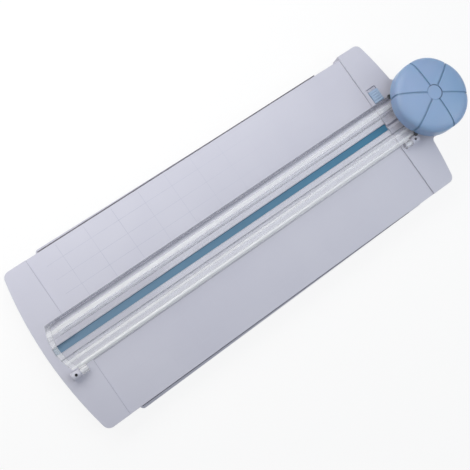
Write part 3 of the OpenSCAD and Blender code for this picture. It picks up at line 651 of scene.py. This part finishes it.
@dataclass(frozen=True)
class PrintedInk:
    """Thin grey ink that prints a little unevenly and fades along X towards the head."""

    name: str
    tone: Colour
    worn: Colour
    faded: Colour
    full_end: float = -0.09
    faded_end: float = 0.05

    def make(self) -> bpy.types.Material:
        """Builds the material."""
        sheet = NodeSheet(self.name)
        shader = sheet.principled(Roughness=0.5, IOR=1.45)
        wear = sheet.noise(90.0, 3.0)
        along = sheet.between(sheet.axes.outputs["X"], self.full_end, self.faded_end)
        fresh = sheet.ramp(wear, 0.35, 0.7, self.tone, self.worn)
        sheet.link(sheet.blend(along, fresh, self.faded), shader.inputs["Base Color"])
        return sheet.material


HEAD_X = 0.172875
WING_Z = 0.0147
BLADE_CENTRE = (HEAD_X, 0.0, 0.0257)
# Painted shade across the rail: dark lines at its front edge and channel walls, and a dark band at its back
# edge.
RAIL_PAINTED_SHADES = (
    (-0.0211, 0.0), (-0.0207, 0.9), (-0.0203, 0.0), (-0.0092, 0.0), (-0.0083, 1.0), (-0.0074, 0.0),
    (0.0076, 0.0), (0.0082, 0.6), (0.0089, 0.0), (0.0152, 0.0), (0.0178, 1.0), (0.0205, 0.8),
)
# Painted highlight across the rail: whiter bands on both ridges and along the front edge.
RAIL_PAINTED_HIGHLIGHTS = (
    (-0.0216, 0.3), (-0.0208, 0.2), (-0.0202, 0.8), (-0.0174, 0.75), (-0.0164, 0.1), (-0.0136, 0.1),
    (-0.0127, 0.4), (-0.0114, 0.4), (-0.0104, 0.0), (0.0108, 0.0), (0.0118, 0.42), (0.0142, 0.48),
    (0.0152, 0.0),
)
FOOT_PLACES = (
    (-0.187125, -0.058, 0.0), (-0.187125, 0.058, 0.0),
    (0.146875, -0.058, 0.0), (0.146875, 0.058, 0.0), (0.193475, 0.0, 0.0),
)
PIVOT_PLACES = ((0.116875, -0.064, 0.0052), (0.116875, 0.064, 0.0052))
STOP_PLACES = ((0.190375, 0.0, 0.0203),)
GRIP_PLACES = tuple((HEAD_X + x, y, 0.0274) for x in (-0.018, 0.018) for y in (-0.015, 0.015))
# Painted shade: dark discs under the grip's rim where the rail's edges pass under it.
RIM_SHADE_PLACES = ((0.1454, 0.0193, 0.0244), (0.1454, -0.0193, 0.0244))
HOLDER_PLACES = ((HEAD_X - 0.0145, 0.0, 0.031), (HEAD_X + 0.0145, 0.0, 0.031))

FINISHES = {
    "base_white": MouldedPlastic("base_white", (0.6, 0.598, 0.672), (0.57, 0.568, 0.648)),
    "slider_white": MouldedPlastic("slider_white", (0.9, 0.91, 0.94), (0.86, 0.87, 0.91)),
    "catch_blue": MouldedPlastic("catch_blue", (0.42, 0.54, 0.7), (0.37, 0.49, 0.66), 0.35),
    "grip_blue": GripPlastic(
        "grip_blue", (0.3, 0.41, 0.62), (0.22, 0.38, 0.59), roughness=0.36, grain=Grain.PEBBLED,
        round_off=0.0003, glow=0.1, axis_x=HEAD_X,
    ),
    "rail_clear": ClearPlastic(
        "rail_clear", tint=(0.98, 0.98, 0.98), wall=(0.42, 0.43, 0.47), passed=(0.96, 0.96, 0.96),
        painted_shades=RAIL_PAINTED_SHADES, painted_highlights=RAIL_PAINTED_HIGHLIGHTS, half=0.03, highlight_half_end=0.15, highlight_full_end=-0.18,
        bow_x=-0.15357, bow_wall=0.0413,
    ),
    "mat_teal": ScoredStrip(
        "mat_teal", (0.048, 0.2, 0.33), (0.15, 0.25, 0.355), (0.16, 0.3, 0.4), 0.13, -0.19
    ),
    "foot_rubber": Rubber("foot_rubber", (0.03, 0.03, 0.033), (0.08, 0.08, 0.085)),
    "steel": DrawnMetal("steel", (0.66, 0.67, 0.69), (0.52, 0.53, 0.55), 0.3, Lay.ALONG_Z),
    "dark_steel": DrawnMetal("dark_steel", (0.05, 0.05, 0.055), (0.02, 0.02, 0.022), 0.4),
    "pin_steel": PinSteel("pin_steel", (0.5, 0.51, 0.58), (0.02, 0.02, 0.022), -0.191625, 0.140875),
    "blade_steel": GroundSteel("blade_steel", (0.74, 0.75, 0.77), (0.6, 0.61, 0.63), BLADE_CENTRE),
    # Painted shade: the dark strips in the gaps beside the stowed arms.
    "gap_shade_dark": Rubber("gap_shade_dark", (0.13, 0.125, 0.15), (0.17, 0.165, 0.19)),
    "catch_foam": Rubber("catch_foam", (0.5, 0.5, 0.58), (0.58, 0.58, 0.66)),
    "grid_ink": PrintedInk("grid_ink", (0.46, 0.47, 0.56), (0.54, 0.54, 0.63), (0.59, 0.59, 0.675)),
    "faint_ink": PrintedInk("faint_ink", (0.57, 0.57, 0.65), (0.6, 0.6, 0.68), (0.6, 0.6, 0.68)),
    # Painted shade: dark lines where shadow falls at the stops and the rail's front edge.
    "shade_ink": PrintedInk("shade_ink", (0.3, 0.3, 0.36), (0.36, 0.36, 0.42), (0.36, 0.36, 0.42)),
}


class Palette:
    """Makes each finish's material once and puts it on pieces."""

    def __init__(self) -> None:
        """Starts with no material made."""
        self.made: dict[str, bpy.types.Material] = {}

    def get(self, name: str) -> bpy.types.Material:
        """The material of a finish, made on first use."""
        if name not in self.made:
            self.made[name] = FINISHES[name].make()
        return self.made[name]

    def paint(self, piece: bpy.types.Object, name: str) -> None:
        """Gives a whole piece one finish."""
        piece.data.materials.clear()
        piece.data.materials.append(self.get(name))

    def fit(self, piece: bpy.types.Object, name: str, body: str, slot: str) -> None:
        """Finishes a new piece and fixes it to a body.

        Args:
            piece: The piece, with its mesh final.
            name: Its finish.
            body: Body that it rides.
            slot: Material slot of the record that it belongs to; not used.
        """
        self.paint(piece, name)
        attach(piece, body)

    def paint_node(self, node: str) -> None:
        """Gives a carried-over node the finish of its slot in the record."""
        slots = {part["node"]: part["material_slot"] for part in frame["record"]["subparts"]}
        self.paint(frame["nodes"][node], slots[node])
        log.info("node %s in %s", node, slots[node])


def clear_selection() -> None:
    """Leaves edit mode and deselects every object."""
    if bpy.context.object and bpy.context.object.mode != "OBJECT":
        bpy.ops.object.mode_set(mode="OBJECT")
    bpy.ops.object.select_all(action="DESELECT")


def pick_only(piece: bpy.types.Object) -> None:
    """Selects one piece alone and makes it the active one."""
    clear_selection()
    piece.select_set(True)
    bpy.context.view_layer.objects.active = piece


def settle(piece: bpy.types.Object) -> None:
    """Moves a piece's place into its mesh."""
    pick_only(piece)
    bpy.ops.object.transform_apply(location=True, rotation=True, scale=True)


def joined(parts: Iterable[bpy.types.Object], name: str) -> bpy.types.Object:
    """Joins objects into one named piece.

    Args:
        parts: The objects; the first one keeps its data.
        name: Name of the piece.

    Returns:
        The joined piece.
    """
    parts = list(parts)
    clear_selection()
    for part in parts:
        part.select_set(True)
    bpy.context.view_layer.objects.active = parts[0]
    if len(parts) > 1:
        bpy.ops.object.join()
    piece = bpy.context.object
    piece.name = piece.data.name = name
    settle(piece)
    return piece


def edit(piece: bpy.types.Object) -> None:
    """Opens a piece in edit mode with everything selected."""
    pick_only(piece)
    bpy.ops.object.mode_set(mode="EDIT")
    bpy.ops.mesh.select_all(action="SELECT")


def close_up() -> None:
    """Turns the normals of the piece in edit mode outwards and leaves edit mode."""
    bpy.ops.mesh.select_all(action="SELECT")
    bpy.ops.mesh.normals_make_consistent(inside=False)
    bpy.ops.object.mode_set(mode="OBJECT")


def lift(height: float) -> None:
    """Extrudes the selected faces upwards."""
    bpy.ops.mesh.extrude_region_move(TRANSFORM_OT_translate={"value": (0.0, 0.0, height)})


def raised(outline: bpy.types.Object, height: float, rounding: float = 0.0, segments: int = 2) -> None:
    """Thickens a flat outline upwards into a closed block.

    Args:
        outline: The outline; it becomes the block.
        height: Height of the block.
        rounding: Width of the rounded edges, if they are rounded.
        segments: Steps in a rounded edge.
    """
    edit(outline)
    lift(height)
    close_up()
    if rounding:
        edit(outline)
        bpy.ops.mesh.bevel(offset=rounding, segments=segments)
        bpy.ops.object.mode_set(mode="OBJECT")


def slab(low: Vector, high: Vector) -> bpy.types.Object:
    """A flat rectangle between two corners, at the height of the lower one.

    Args:
        low: Lowest corner.
        high: Highest corner.

    Returns:
        The rectangle, ready to be raised.
    """
    clear_selection()
    middle, size = (low + high) / 2, high - low
    bpy.ops.mesh.primitive_plane_add(size=1.0, location=(middle.x, middle.y, low.z))
    outline = bpy.context.object
    outline.scale = (size.x, size.y, 1.0)
    settle(outline)
    return outline


def pick_faces(piece: bpy.types.Object, level: float) -> None:
    """Selects only the level faces at one height.

    Args:
        piece: The piece, open in edit mode.
        level: Height of the faces in the piece's own frame.
    """
    bpy.ops.mesh.select_mode(type="FACE")
    bpy.ops.mesh.select_all(action="DESELECT")
    bpy.ops.object.mode_set(mode="OBJECT")
    for face in piece.data.polygons:
        face.select = abs(face.center.z - level) < 1e-6 and abs(face.normal.z) > 0.9
    bpy.ops.object.mode_set(mode="EDIT")


def apply_modifiers(piece: bpy.types.Object) -> None:
    """Applies every modifier of a piece in order."""
    pick_only(piece)
    for modifier in list(piece.modifiers):
        bpy.ops.object.modifier_apply(modifier=modifier.name)


def smooth(piece: bpy.types.Object, degrees: float = 35.0) -> None:
    """Shades a piece smooth across its shallow edges."""
    pick_only(piece)
    bpy.ops.object.shade_smooth_by_angle(angle=math.radians(degrees))


def copies(model: bpy.types.Object, places: Sequence[Sequence[float]], name: str) -> bpy.types.Object:
    """Puts copies of one modelled piece at several places and joins them.

    Args:
        model: The piece, modelled at the origin; it is used up.
        places: Where the copies go.
        name: Name of the joined piece.

    Returns:
        The joined piece.
    """
    made = []
    for place in places:
        copy = model.copy()
        copy.data = model.data.copy()
        bpy.context.scene.collection.objects.link(copy)
        copy.location = place
        made.append(copy)
    bpy.data.objects.remove(model)
    return joined(made, name)


@dataclass(frozen=True)
class Screw:
    """A pan-head screw with a cross recess, standing head up with its shoulder at the origin."""

    head: float
    head_height: float
    shank: float
    length: float
    head_down: bool = False
    sides: int = 28

    def recess(self, body: bpy.types.Object) -> None:
        """Cuts the cross recess into the head."""
        for turn in (0.0, math.pi / 2):
            clear_selection()
            bpy.ops.mesh.primitive_cube_add(size=1.0, location=(0.0, 0.0, self.head_height))
            bar = bpy.context.object
            bar.scale = (0.58 * self.head, 0.14 * self.head, 1.1 * self.head_height)
            bar.rotation_euler.z = turn
            settle(bar)
            cut = body.modifiers.new("recess", "BOOLEAN")
            cut.operation, cut.object, cut.solver = "DIFFERENCE", bar, "EXACT"
            apply_modifiers(body)
            bpy.data.objects.remove(bar)

    def build(self) -> bpy.types.Object:
        """Models the screw.

        Returns:
            The screw at the origin.
        """
        clear_selection()
        bpy.ops.mesh.primitive_circle_add(vertices=self.sides, radius=self.shank / 2, fill_type="NGON")
        body = bpy.context.object
        edit(body)
        bpy.ops.transform.translate(value=(0.0, 0.0, -self.length))
        lift(self.length)
        factor = self.head / self.shank
        bpy.ops.mesh.extrude_region_move()
        bpy.ops.transform.resize(value=(factor, factor, 1.0))
        lift(0.45 * self.head_height)
        for rise, share in ((0.3, 0.93), (0.18, 0.84), (0.07, 0.8)):
            lift(rise * self.head_height)
            bpy.ops.transform.resize(value=(share, share, 1.0))
        close_up()
        self.recess(body)
        if self.head_down:
            body.rotation_euler.x = math.pi
            settle(body)
        return body


@dataclass
class Fasteners:
    """A set of like screws that stands for one node of plain screws."""

    palette: Palette
    node: str
    body: str
    screw: Screw
    places: tuple[tuple[float, float, float], ...]

    def build(self) -> None:
        """Models one screw and copies it to its places."""
        piece = copies(self.screw.build(), self.places, f"{self.node}_crossed")
        smooth(piece)
        self.palette.fit(piece, "steel", self.body, "steel")
        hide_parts(self.node)
        log.info("%s at %d places", piece.name, len(self.places))


@dataclass
class Springs:
    """The two return springs of the head, with closed end coils."""

    palette: Palette
    x: float = HEAD_X
    y: float = 0.0165
    low: float = 0.0245
    height: float = 0.0094
    coil: float = 0.00275
    wire: float = 0.0007
    closed_pitch: float = 0.00075
    open_turns: int = 3
    sides: int = 10
    steps: int = 28
    kept: float = 0.734

    def coils(self, start: float, pitch: float, turns: int) -> bpy.types.Object:
        """Winds a run of coils about the Z axis.

        Args:
            start: Height of the wire's centre where the run begins.
            pitch: Rise of one turn.
            turns: Whole turns.

        Returns:
            The run's object.
        """
        clear_selection()
        bpy.ops.mesh.primitive_circle_add(
            vertices=self.sides, radius=self.wire / 2, location=(self.coil, 0.0, start),
            rotation=(math.pi / 2, 0.0, 0.0),
        )
        run = bpy.context.object
        settle(run)
        wind = run.modifiers.new("wind", "SCREW")
        wind.axis, wind.angle, wind.screw_offset = "Z", 2 * math.pi, pitch
        wind.iterations, wind.steps, wind.render_steps = turns, self.steps, self.steps
        apply_modifiers(run)
        return run

    def build(self) -> None:
        """Winds one spring and copies it to both posts."""
        first = self.low + self.wire / 2
        open_pitch = (self.height - self.wire - 2 * self.closed_pitch) / self.open_turns
        second = first + self.closed_pitch
        third = second + self.open_turns * open_pitch
        runs = [
            self.coils(first, self.closed_pitch, 1),
            self.coils(second, open_pitch, self.open_turns),
            self.coils(third, self.closed_pitch, 1),
        ]
        spring = joined(runs, "spring")
        edit(spring)
        bpy.ops.mesh.remove_doubles(threshold=1e-6)
        bpy.ops.mesh.fill_holes(sides=0)
        close_up()
        for node, y in (("back_spring", self.y), ("front_spring", -self.y)):
            self.place(spring, node, y)
        bpy.data.objects.remove(spring)

    def place(self, spring: bpy.types.Object, node: str, y: float) -> None:
        """Puts a copy of the spring on one post.

        Args:
            spring: The wound spring.
            node: Node that it stands for.
            y: The post's place across the rail.
        """
        piece = spring.copy()
        piece.data = spring.data.copy()
        bpy.context.scene.collection.objects.link(piece)
        piece.name = piece.data.name = f"{node}_wound"
        piece.location = (self.x, y, 0.0)
        settle(piece)
        smooth(piece, 60.0)
        self.palette.fit(piece, "steel", "slider_body", "steel")
        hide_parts(node)
        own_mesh(piece)
        log.info("%s on its post", piece.name)


@dataclass
class FootPads:
    """Rubber pads with a rounded rim and ring treads below."""

    palette: Palette
    places: tuple[tuple[float, float, float], ...]
    radius: float = 0.006
    height: float = 0.0025
    rounding: float = 0.0005
    tread: float = 0.0004
    sides: int = 40

    def pad(self) -> bpy.types.Object:
        """Models one pad on the ground at the origin.

        Returns:
            The pad.
        """
        clear_selection()
        bpy.ops.mesh.primitive_circle_add(
            vertices=self.sides, radius=self.radius - self.rounding, fill_type="NGON"
        )
        pad = bpy.context.object
        edit(pad)
        ring = self.radius / (self.radius - self.rounding)
        for rise, share in ((0.3, 1 + 0.7 * (ring - 1)), (0.7, ring / (1 + 0.7 * (ring - 1)))):
            lift(rise * self.rounding)
            bpy.ops.transform.resize(value=(share, share, 1.0))
        lift(self.height - self.rounding)
        close_up()
        return pad

    def treads(self, pad: bpy.types.Object) -> None:
        """Sinks two rings into the pad's lower face.

        Args:
            pad: The plain pad.
        """
        edit(pad)
        pick_faces(pad, 0.0)
        for step in (0.0011, 0.0009, 0.0009):
            bpy.ops.mesh.inset(thickness=step, depth=0.0)
            lift(self.tread)
            bpy.ops.mesh.inset(thickness=0.0006, depth=0.0)
            lift(-self.tread)
        bpy.ops.object.mode_set(mode="OBJECT")

    def build(self) -> None:
        """Models one pad and copies it to the five places."""
        pad = self.pad()
        self.treads(pad)
        piece = copies(pad, self.places, "foot_pads")
        smooth(piece)
        self.palette.fit(piece, "foot_rubber", "base_body", "foot_rubber")
        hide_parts("feet")
        log.info("foot_pads at %d places", len(self.places))


@dataclass
class Bed:
    """The base with its strip, pins and the printed grid."""

    palette: Palette
    left_stop: float = -0.179125
    right_stop: float = 0.132875
    top: float = 0.0135
    back: float = 0.0705
    rail_back: float = 0.0215
    rail_edge: float = 0.0208
    column: float = 0.0254
    row: float = 0.0127
    margin: float = 0.011
    ink: float = 0.0003
    # Half width of the painted shade lines.
    shade_line: float = 0.0002
    film: float = 0.00002
    # The next five fields place the dark strips of painted shade in the gaps beside the stowed arms.
    gap_shade_top: float = 0.011
    gap_shade_low: float = 0.0097
    gap_shade_left: float = -0.168
    gap_shade_held: float = 0.002
    gap_shades: tuple[tuple[int, float, float], ...] = ((1, 0.1065, 0.0014), (-1, 0.105, 0.0007))
    grid_inset: float = 0.002
    nodes: tuple[str, ...] = ("base", "cutting_mat")
    pins: tuple[str, ...] = ("left_hinge_pin", "right_hinge_pin")

    def line(self, low: Vector, high: Vector) -> bpy.types.Object:
        """One straight line: a film of ink, or a bar if its corners differ in height.

        Args:
            low: Lowest corner.
            high: Highest corner.

        Returns:
            The line's object.
        """
        strip = slab(low, high)
        raised(strip, high.z - low.z or self.film)
        return strip

    def print_lines(self, lines: list[bpy.types.Object], name: str, ink: str) -> None:
        """Joins printed lines into one piece on the base.

        Args:
            lines: The lines.
            name: Name of the piece.
            ink: Finish of the lines.
        """
        piece = joined(lines, name)
        self.palette.fit(piece, ink, "base_body", "base_white")
        log.info("%s of %d lines", name, len(lines))

    def grid_lines(self, side: int) -> list[bpy.types.Object]:
        """Lines of the one inch by half inch grid on one half of the bed.

        Args:
            side: 1 behind the rail, -1 in front of it.

        Returns:
            The lines.
        """
        half = self.ink / 2
        near, far = sorted((side * self.rail_back, side * (self.back - self.grid_inset)))
        lines = []
        for i in range(1, int((self.right_stop - self.left_stop) / self.column) + 1):
            x = self.left_stop + i * self.column
            lines.append(self.line(Vector((x - half, near, self.top)), Vector((x + half, far, self.top))))
        start, end = self.left_stop + self.margin, self.right_stop - self.margin
        for j in range(1, int((self.back - self.rail_back) / self.row) + 1):
            y = side * (self.back - j * self.row)
            lines.append(self.line(Vector((start, y - half, self.top)), Vector((end, y + half, self.top))))
        return lines

    def painted_shade_lines(self) -> list[bpy.types.Object]:
        """Painted shade: dark lines along the foot of the two end stops and along the rail's front edge,
        where shadow falls.

        Returns:
            The lines: two to each stop, then the one at the rail.
        """
        shade_strips = []
        for x in (self.left_stop + self.shade_line, self.right_stop - self.shade_line):
            for near, far in ((self.rail_back, self.back), (-self.back, -self.rail_back)):
                low = Vector((x - self.shade_line, near, self.top))
                shade_strips.append(self.line(low, Vector((x + self.shade_line, far, self.top))))
        low = Vector((self.left_stop, -self.rail_edge - 3 * self.shade_line, self.top))
        shade_strips.append(self.line(low, Vector((self.right_stop, -self.rail_edge, self.top))))
        return shade_strips

    def build_gap_shades(self) -> None:
        """Lays the dark strips of painted shade in the gap between the bed plate and each stowed arm."""
        gap_shades = []
        for side, right, out in self.gap_shades:
            near, far = sorted((side * (self.back - self.gap_shade_held), side * (self.back + out)))
            low = Vector((self.gap_shade_left, near, self.gap_shade_low))
            gap_shades.append(self.line(low, Vector((right, far, self.gap_shade_top))))
        piece = joined(gap_shades, "arm_gap_shades")
        self.palette.fit(piece, "gap_shade_dark", "base_body", "foot_rubber")
        log.info("arm_gap_shades along both edges")

    def build_prints(self) -> None:
        """Prints the grid and lays the painted shade lines at the stops and along the rail."""
        self.print_lines(self.grid_lines(1), "printed_grid", "grid_ink")
        self.print_lines(self.grid_lines(-1), "printed_grid_front", "faint_ink")
        self.print_lines(self.painted_shade_lines(), "stop_shade_lines", "shade_ink")

    def dress(self) -> None:
        """Finishes the base's nodes."""
        for node in self.nodes:
            self.palette.paint_node(node)
        for pin in self.pins:
            self.palette.paint(frame["nodes"][pin], "pin_steel")
            log.info("node %s in pin_steel", pin)


@dataclass
class CatchPad:
    """The foam pad behind the rail catch, which pushes it back towards the rail."""

    palette: Palette
    left: float = 0.136375
    width: float = 0.0092
    front: float = 0.0326
    back: float = 0.03555
    low: float = WING_Z - 0.0031
    top: float = WING_Z - 0.0006
    rounding: float = 0.0003
    kept: float = 0.05

    def build(self) -> None:
        """Models the pad as a block with rounded edges."""
        low = Vector((self.left, self.front, self.low))
        pad = slab(low, Vector((self.left + self.width, self.back, self.top)))
        raised(pad, self.top - self.low, self.rounding, 3)
        pad.name = pad.data.name = "catch_pad"
        smooth(pad)
        self.palette.fit(pad, "catch_foam", "base_body", "foot_rubber")
        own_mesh(pad)
        log.info("catch_pad behind the catch")


@dataclass
class RimShadeDots:
    """Two dark rubber discs under the grip's rim over the rail's outer edges: painted shade where the gap
    below the rim lies in shadow.
    """

    palette: Palette
    places: tuple[tuple[float, float, float], ...]
    radius: float = 0.002
    height: float = 0.0003
    rounding: float = 0.0001
    sides: int = 28

    def build(self) -> None:
        """Models one pad and copies it to both edges."""
        clear_selection()
        bpy.ops.mesh.primitive_circle_add(vertices=self.sides, radius=self.radius, fill_type="NGON")
        pad = bpy.context.object
        raised(pad, self.height, self.rounding)
        piece = copies(pad, self.places, "rim_shade_dots")
        smooth(piece)
        self.palette.fit(piece, "foot_rubber", "grip_body", "foot_rubber")
        log.info("rim_shade_dots at %d places", len(self.places))


@dataclass
class Nodes:
    """A group of carried-over nodes whose shapes stay as they are."""

    palette: Palette
    nodes: tuple[str, ...]

    def dress(self) -> None:
        """Finishes the nodes."""
        for node in self.nodes:
            self.palette.paint_node(node)


@dataclass(frozen=True)
class Lamp:
    """A soft rectangular lamp: its centre, the point it faces, its size, watts and colour."""

    name: str
    place: tuple[float, float, float]
    aim: tuple[float, float, float]
    size: tuple[float, float]
    power: float
    colour: Colour


LAMPS = (
    Lamp("strip", (0.16, -0.2, 0.95), (0.0, 0.0, 0.0), (1.3, 0.56), 2.5, (0.92, 0.955, 1.0)),
    Lamp("side", (0.48, -0.28, 0.42), (0.14, 0.0, 0.02), (0.4, 0.3), 0.9, (0.84, 0.92, 1.0)),
    Lamp("back", (-0.08, 0.24, 0.22), (-0.05, 0.04, 0.0), (0.64, 0.22), 1.1, (1.0, 0.985, 0.965)),
)


@dataclass
class Studio:
    """Floor, lamps, world and the camera at the photograph's angle."""

    floor_half: float = 3.0
    eye: tuple[float, float, float] = (-0.178935, -0.02469, 0.5894)
    right: tuple[float, float, float] = (0.800104, -0.5715, 0.182268)
    down: tuple[float, float, float] = (-0.546983, -0.819818, -0.169436)
    ahead: tuple[float, float, float] = (0.24626, 0.035869, -0.96854)
    focal_px: float = 738.18
    frame_px: float = 470.0
    sensor: float = 36.0
    soft_light: float = 0.24
    soft_tone: Colour = (0.9, 0.94, 1.0)
    room_dim: Colour = (0.2, 0.21, 0.25)
    room_pale: Colour = (0.95, 0.97, 1.0)
    floor_tone: Colour = (0.9, 0.9, 0.9)
    floor_share: float = 0.86
    room_lean: tuple[float, float, float] = (0.0, -0.45, 0.6)

    def camera(self) -> None:
        """Places the camera fitted to the photograph."""
        data = bpy.data.cameras.new("camera")
        data.sensor_width = self.sensor
        data.lens = self.focal_px * self.sensor / self.frame_px
        data.clip_start = 0.01
        camera = bpy.data.objects.new("camera", data)
        bpy.context.scene.collection.objects.link(camera)
        axes = (Vector(self.right), -Vector(self.down), -Vector(self.ahead))
        camera.matrix_world = Matrix.Translation(self.eye) @ Matrix(axes).transposed().to_4x4()
        bpy.context.scene.camera = camera

    def lamp(self, lamp: Lamp) -> None:
        """Adds one soft rectangular lamp.

        Args:
            lamp: What the lamp is.
        """
        data = bpy.data.lights.new(lamp.name, "AREA")
        data.shape = "RECTANGLE"
        data.size, data.size_y = lamp.size
        data.energy = lamp.power
        data.color = lamp.colour
        piece = bpy.data.objects.new(lamp.name, data)
        bpy.context.scene.collection.objects.link(piece)
        piece.location = lamp.place
        piece.rotation_euler = (Vector(lamp.aim) - Vector(lamp.place)).to_track_quat("-Z", "Y").to_euler()
        piece.visible_camera = False

    def room_tone(self, sheet: NodeTree) -> bpy.types.NodeSocket:
        """What gloss and clear plastic see of the room: pale above and in front, dim behind.

        Args:
            sheet: The world's tree.

        Returns:
            The colour's socket.
        """
        coords = sheet.add("ShaderNodeTexCoord")
        lean = sheet.add("ShaderNodeVectorMath", operation="DOT_PRODUCT")
        lean.inputs[1].default_value = self.room_lean
        sheet.link(coords.outputs["Generated"], lean.inputs[0])
        ramp = sheet.add("ShaderNodeValToRGB")
        low, high = ramp.color_ramp.elements
        low.position, high.position = 0.0, 0.8
        low.color, high.color = (*self.room_dim, 1.0), (*self.room_pale, 1.0)
        sheet.link(lean.outputs["Value"], ramp.inputs["Fac"])
        return ramp.outputs["Color"]

    def world(self) -> None:
        """A white background to look at, a room in reflections, and a soft cool light."""
        world = bpy.data.worlds.new("studio")
        world.use_nodes = True
        sheet = NodeTree(world.node_tree)
        soft, white, room = (sheet.add("ShaderNodeBackground") for _ in range(3))
        soft.inputs["Color"].default_value = (*self.soft_tone, 1.0)
        soft.inputs["Strength"].default_value = self.soft_light
        white.inputs["Color"].default_value = (1.0, 1.0, 1.0, 1.0)
        sheet.link(self.room_tone(sheet), room.inputs["Color"])
        path = sheet.add("ShaderNodeLightPath").outputs
        indirect = sheet.largest((path["Is Glossy Ray"], path["Is Transmission Ray"]))
        light = sheet.mix(indirect, soft.outputs["Background"], room.outputs["Background"])
        seen = sheet.mix(path["Is Camera Ray"], light, white.outputs["Background"])
        sheet.link(seen, sheet.add("ShaderNodeOutputWorld").inputs["Surface"])
        bpy.context.scene.world = world

    def floor(self) -> None:
        """A white floor that keeps a faint shadow."""
        clear_selection()
        bpy.ops.mesh.primitive_plane_add(size=2 * self.floor_half)
        floor = bpy.context.object
        floor.name = "floor"
        sheet = NodeSheet("floor_white")
        matt = sheet.add("ShaderNodeBsdfDiffuse")
        matt.inputs["Color"].default_value = (*self.floor_tone, 1.0)
        white = sheet.add("ShaderNodeEmission")
        path = sheet.add("ShaderNodeLightPath").outputs
        seen = sheet.largest(path[f"Is {ray} Ray"] for ray in ("Camera", "Glossy", "Transmission"))
        share = sheet.span(seen, 0.0, self.floor_share)
        surface = sheet.mix(share, matt.outputs["BSDF"], white.outputs["Emission"])
        sheet.link(surface, sheet.output.inputs["Surface"])
        floor.data.materials.append(sheet.material)

    def build(self) -> None:
        """Sets up the whole studio."""
        bpy.context.scene.view_settings.view_transform = "Standard"
        self.camera()
        self.world()
        self.floor()
        for lamp in LAMPS:
            self.lamp(lamp)
        log.info("studio ready")


def main() -> None:
    """Builds and dresses the trimmer, piece by piece."""
    logging.basicConfig(level=logging.INFO, format="%(name)s: %(message)s")
    clear_selection()
    Studio().build()
    palette = Palette()
    bed = Bed(palette)
    bed.build_prints()
    bed.build_gap_shades()
    bed.dress()
    Nodes(palette, ("back_arm", "front_arm", "rail_catch")).dress()
    CatchPad(palette).build()
    FootPads(palette, FOOT_PLACES).build()
    pivot = Screw(head=0.009, head_height=0.0016, shank=0.005, length=0.0075, head_down=True)
    Fasteners(palette, "arm_pivots", "base_body", pivot, PIVOT_PLACES).build()
    Nodes(palette, ("rail", "rail_end_stop")).dress()
    keeper = Screw(head=0.005, head_height=0.0015, shank=0.0026, length=0.0055)
    Fasteners(palette, "stop_screw", "rail_body", keeper, STOP_PLACES).build()
    Nodes(palette, ("slider", "guide_posts")).dress()
    Springs(palette).build()
    Nodes(palette, ("grip_shell", "grip_cap", "grip_plate")).dress()
    RimShadeDots(palette, RIM_SHADE_PLACES).build()
    plate = Screw(head=0.005, head_height=0.0015, shank=0.0026, length=0.008, head_down=True)
    Fasteners(palette, "grip_screws", "grip_body", plate, GRIP_PLACES).build()
    Nodes(palette, ("blade_holder", "blade_axle", "axle_clip", "blade", "blade_bush")).dress()
    holder = Screw(head=0.005, head_height=0.0015, shank=0.0026, length=0.0036)
    Fasteners(palette, "holder_screws", "grip_body", holder, HOLDER_PLACES).build()


if __name__ == "__main__":
    main()
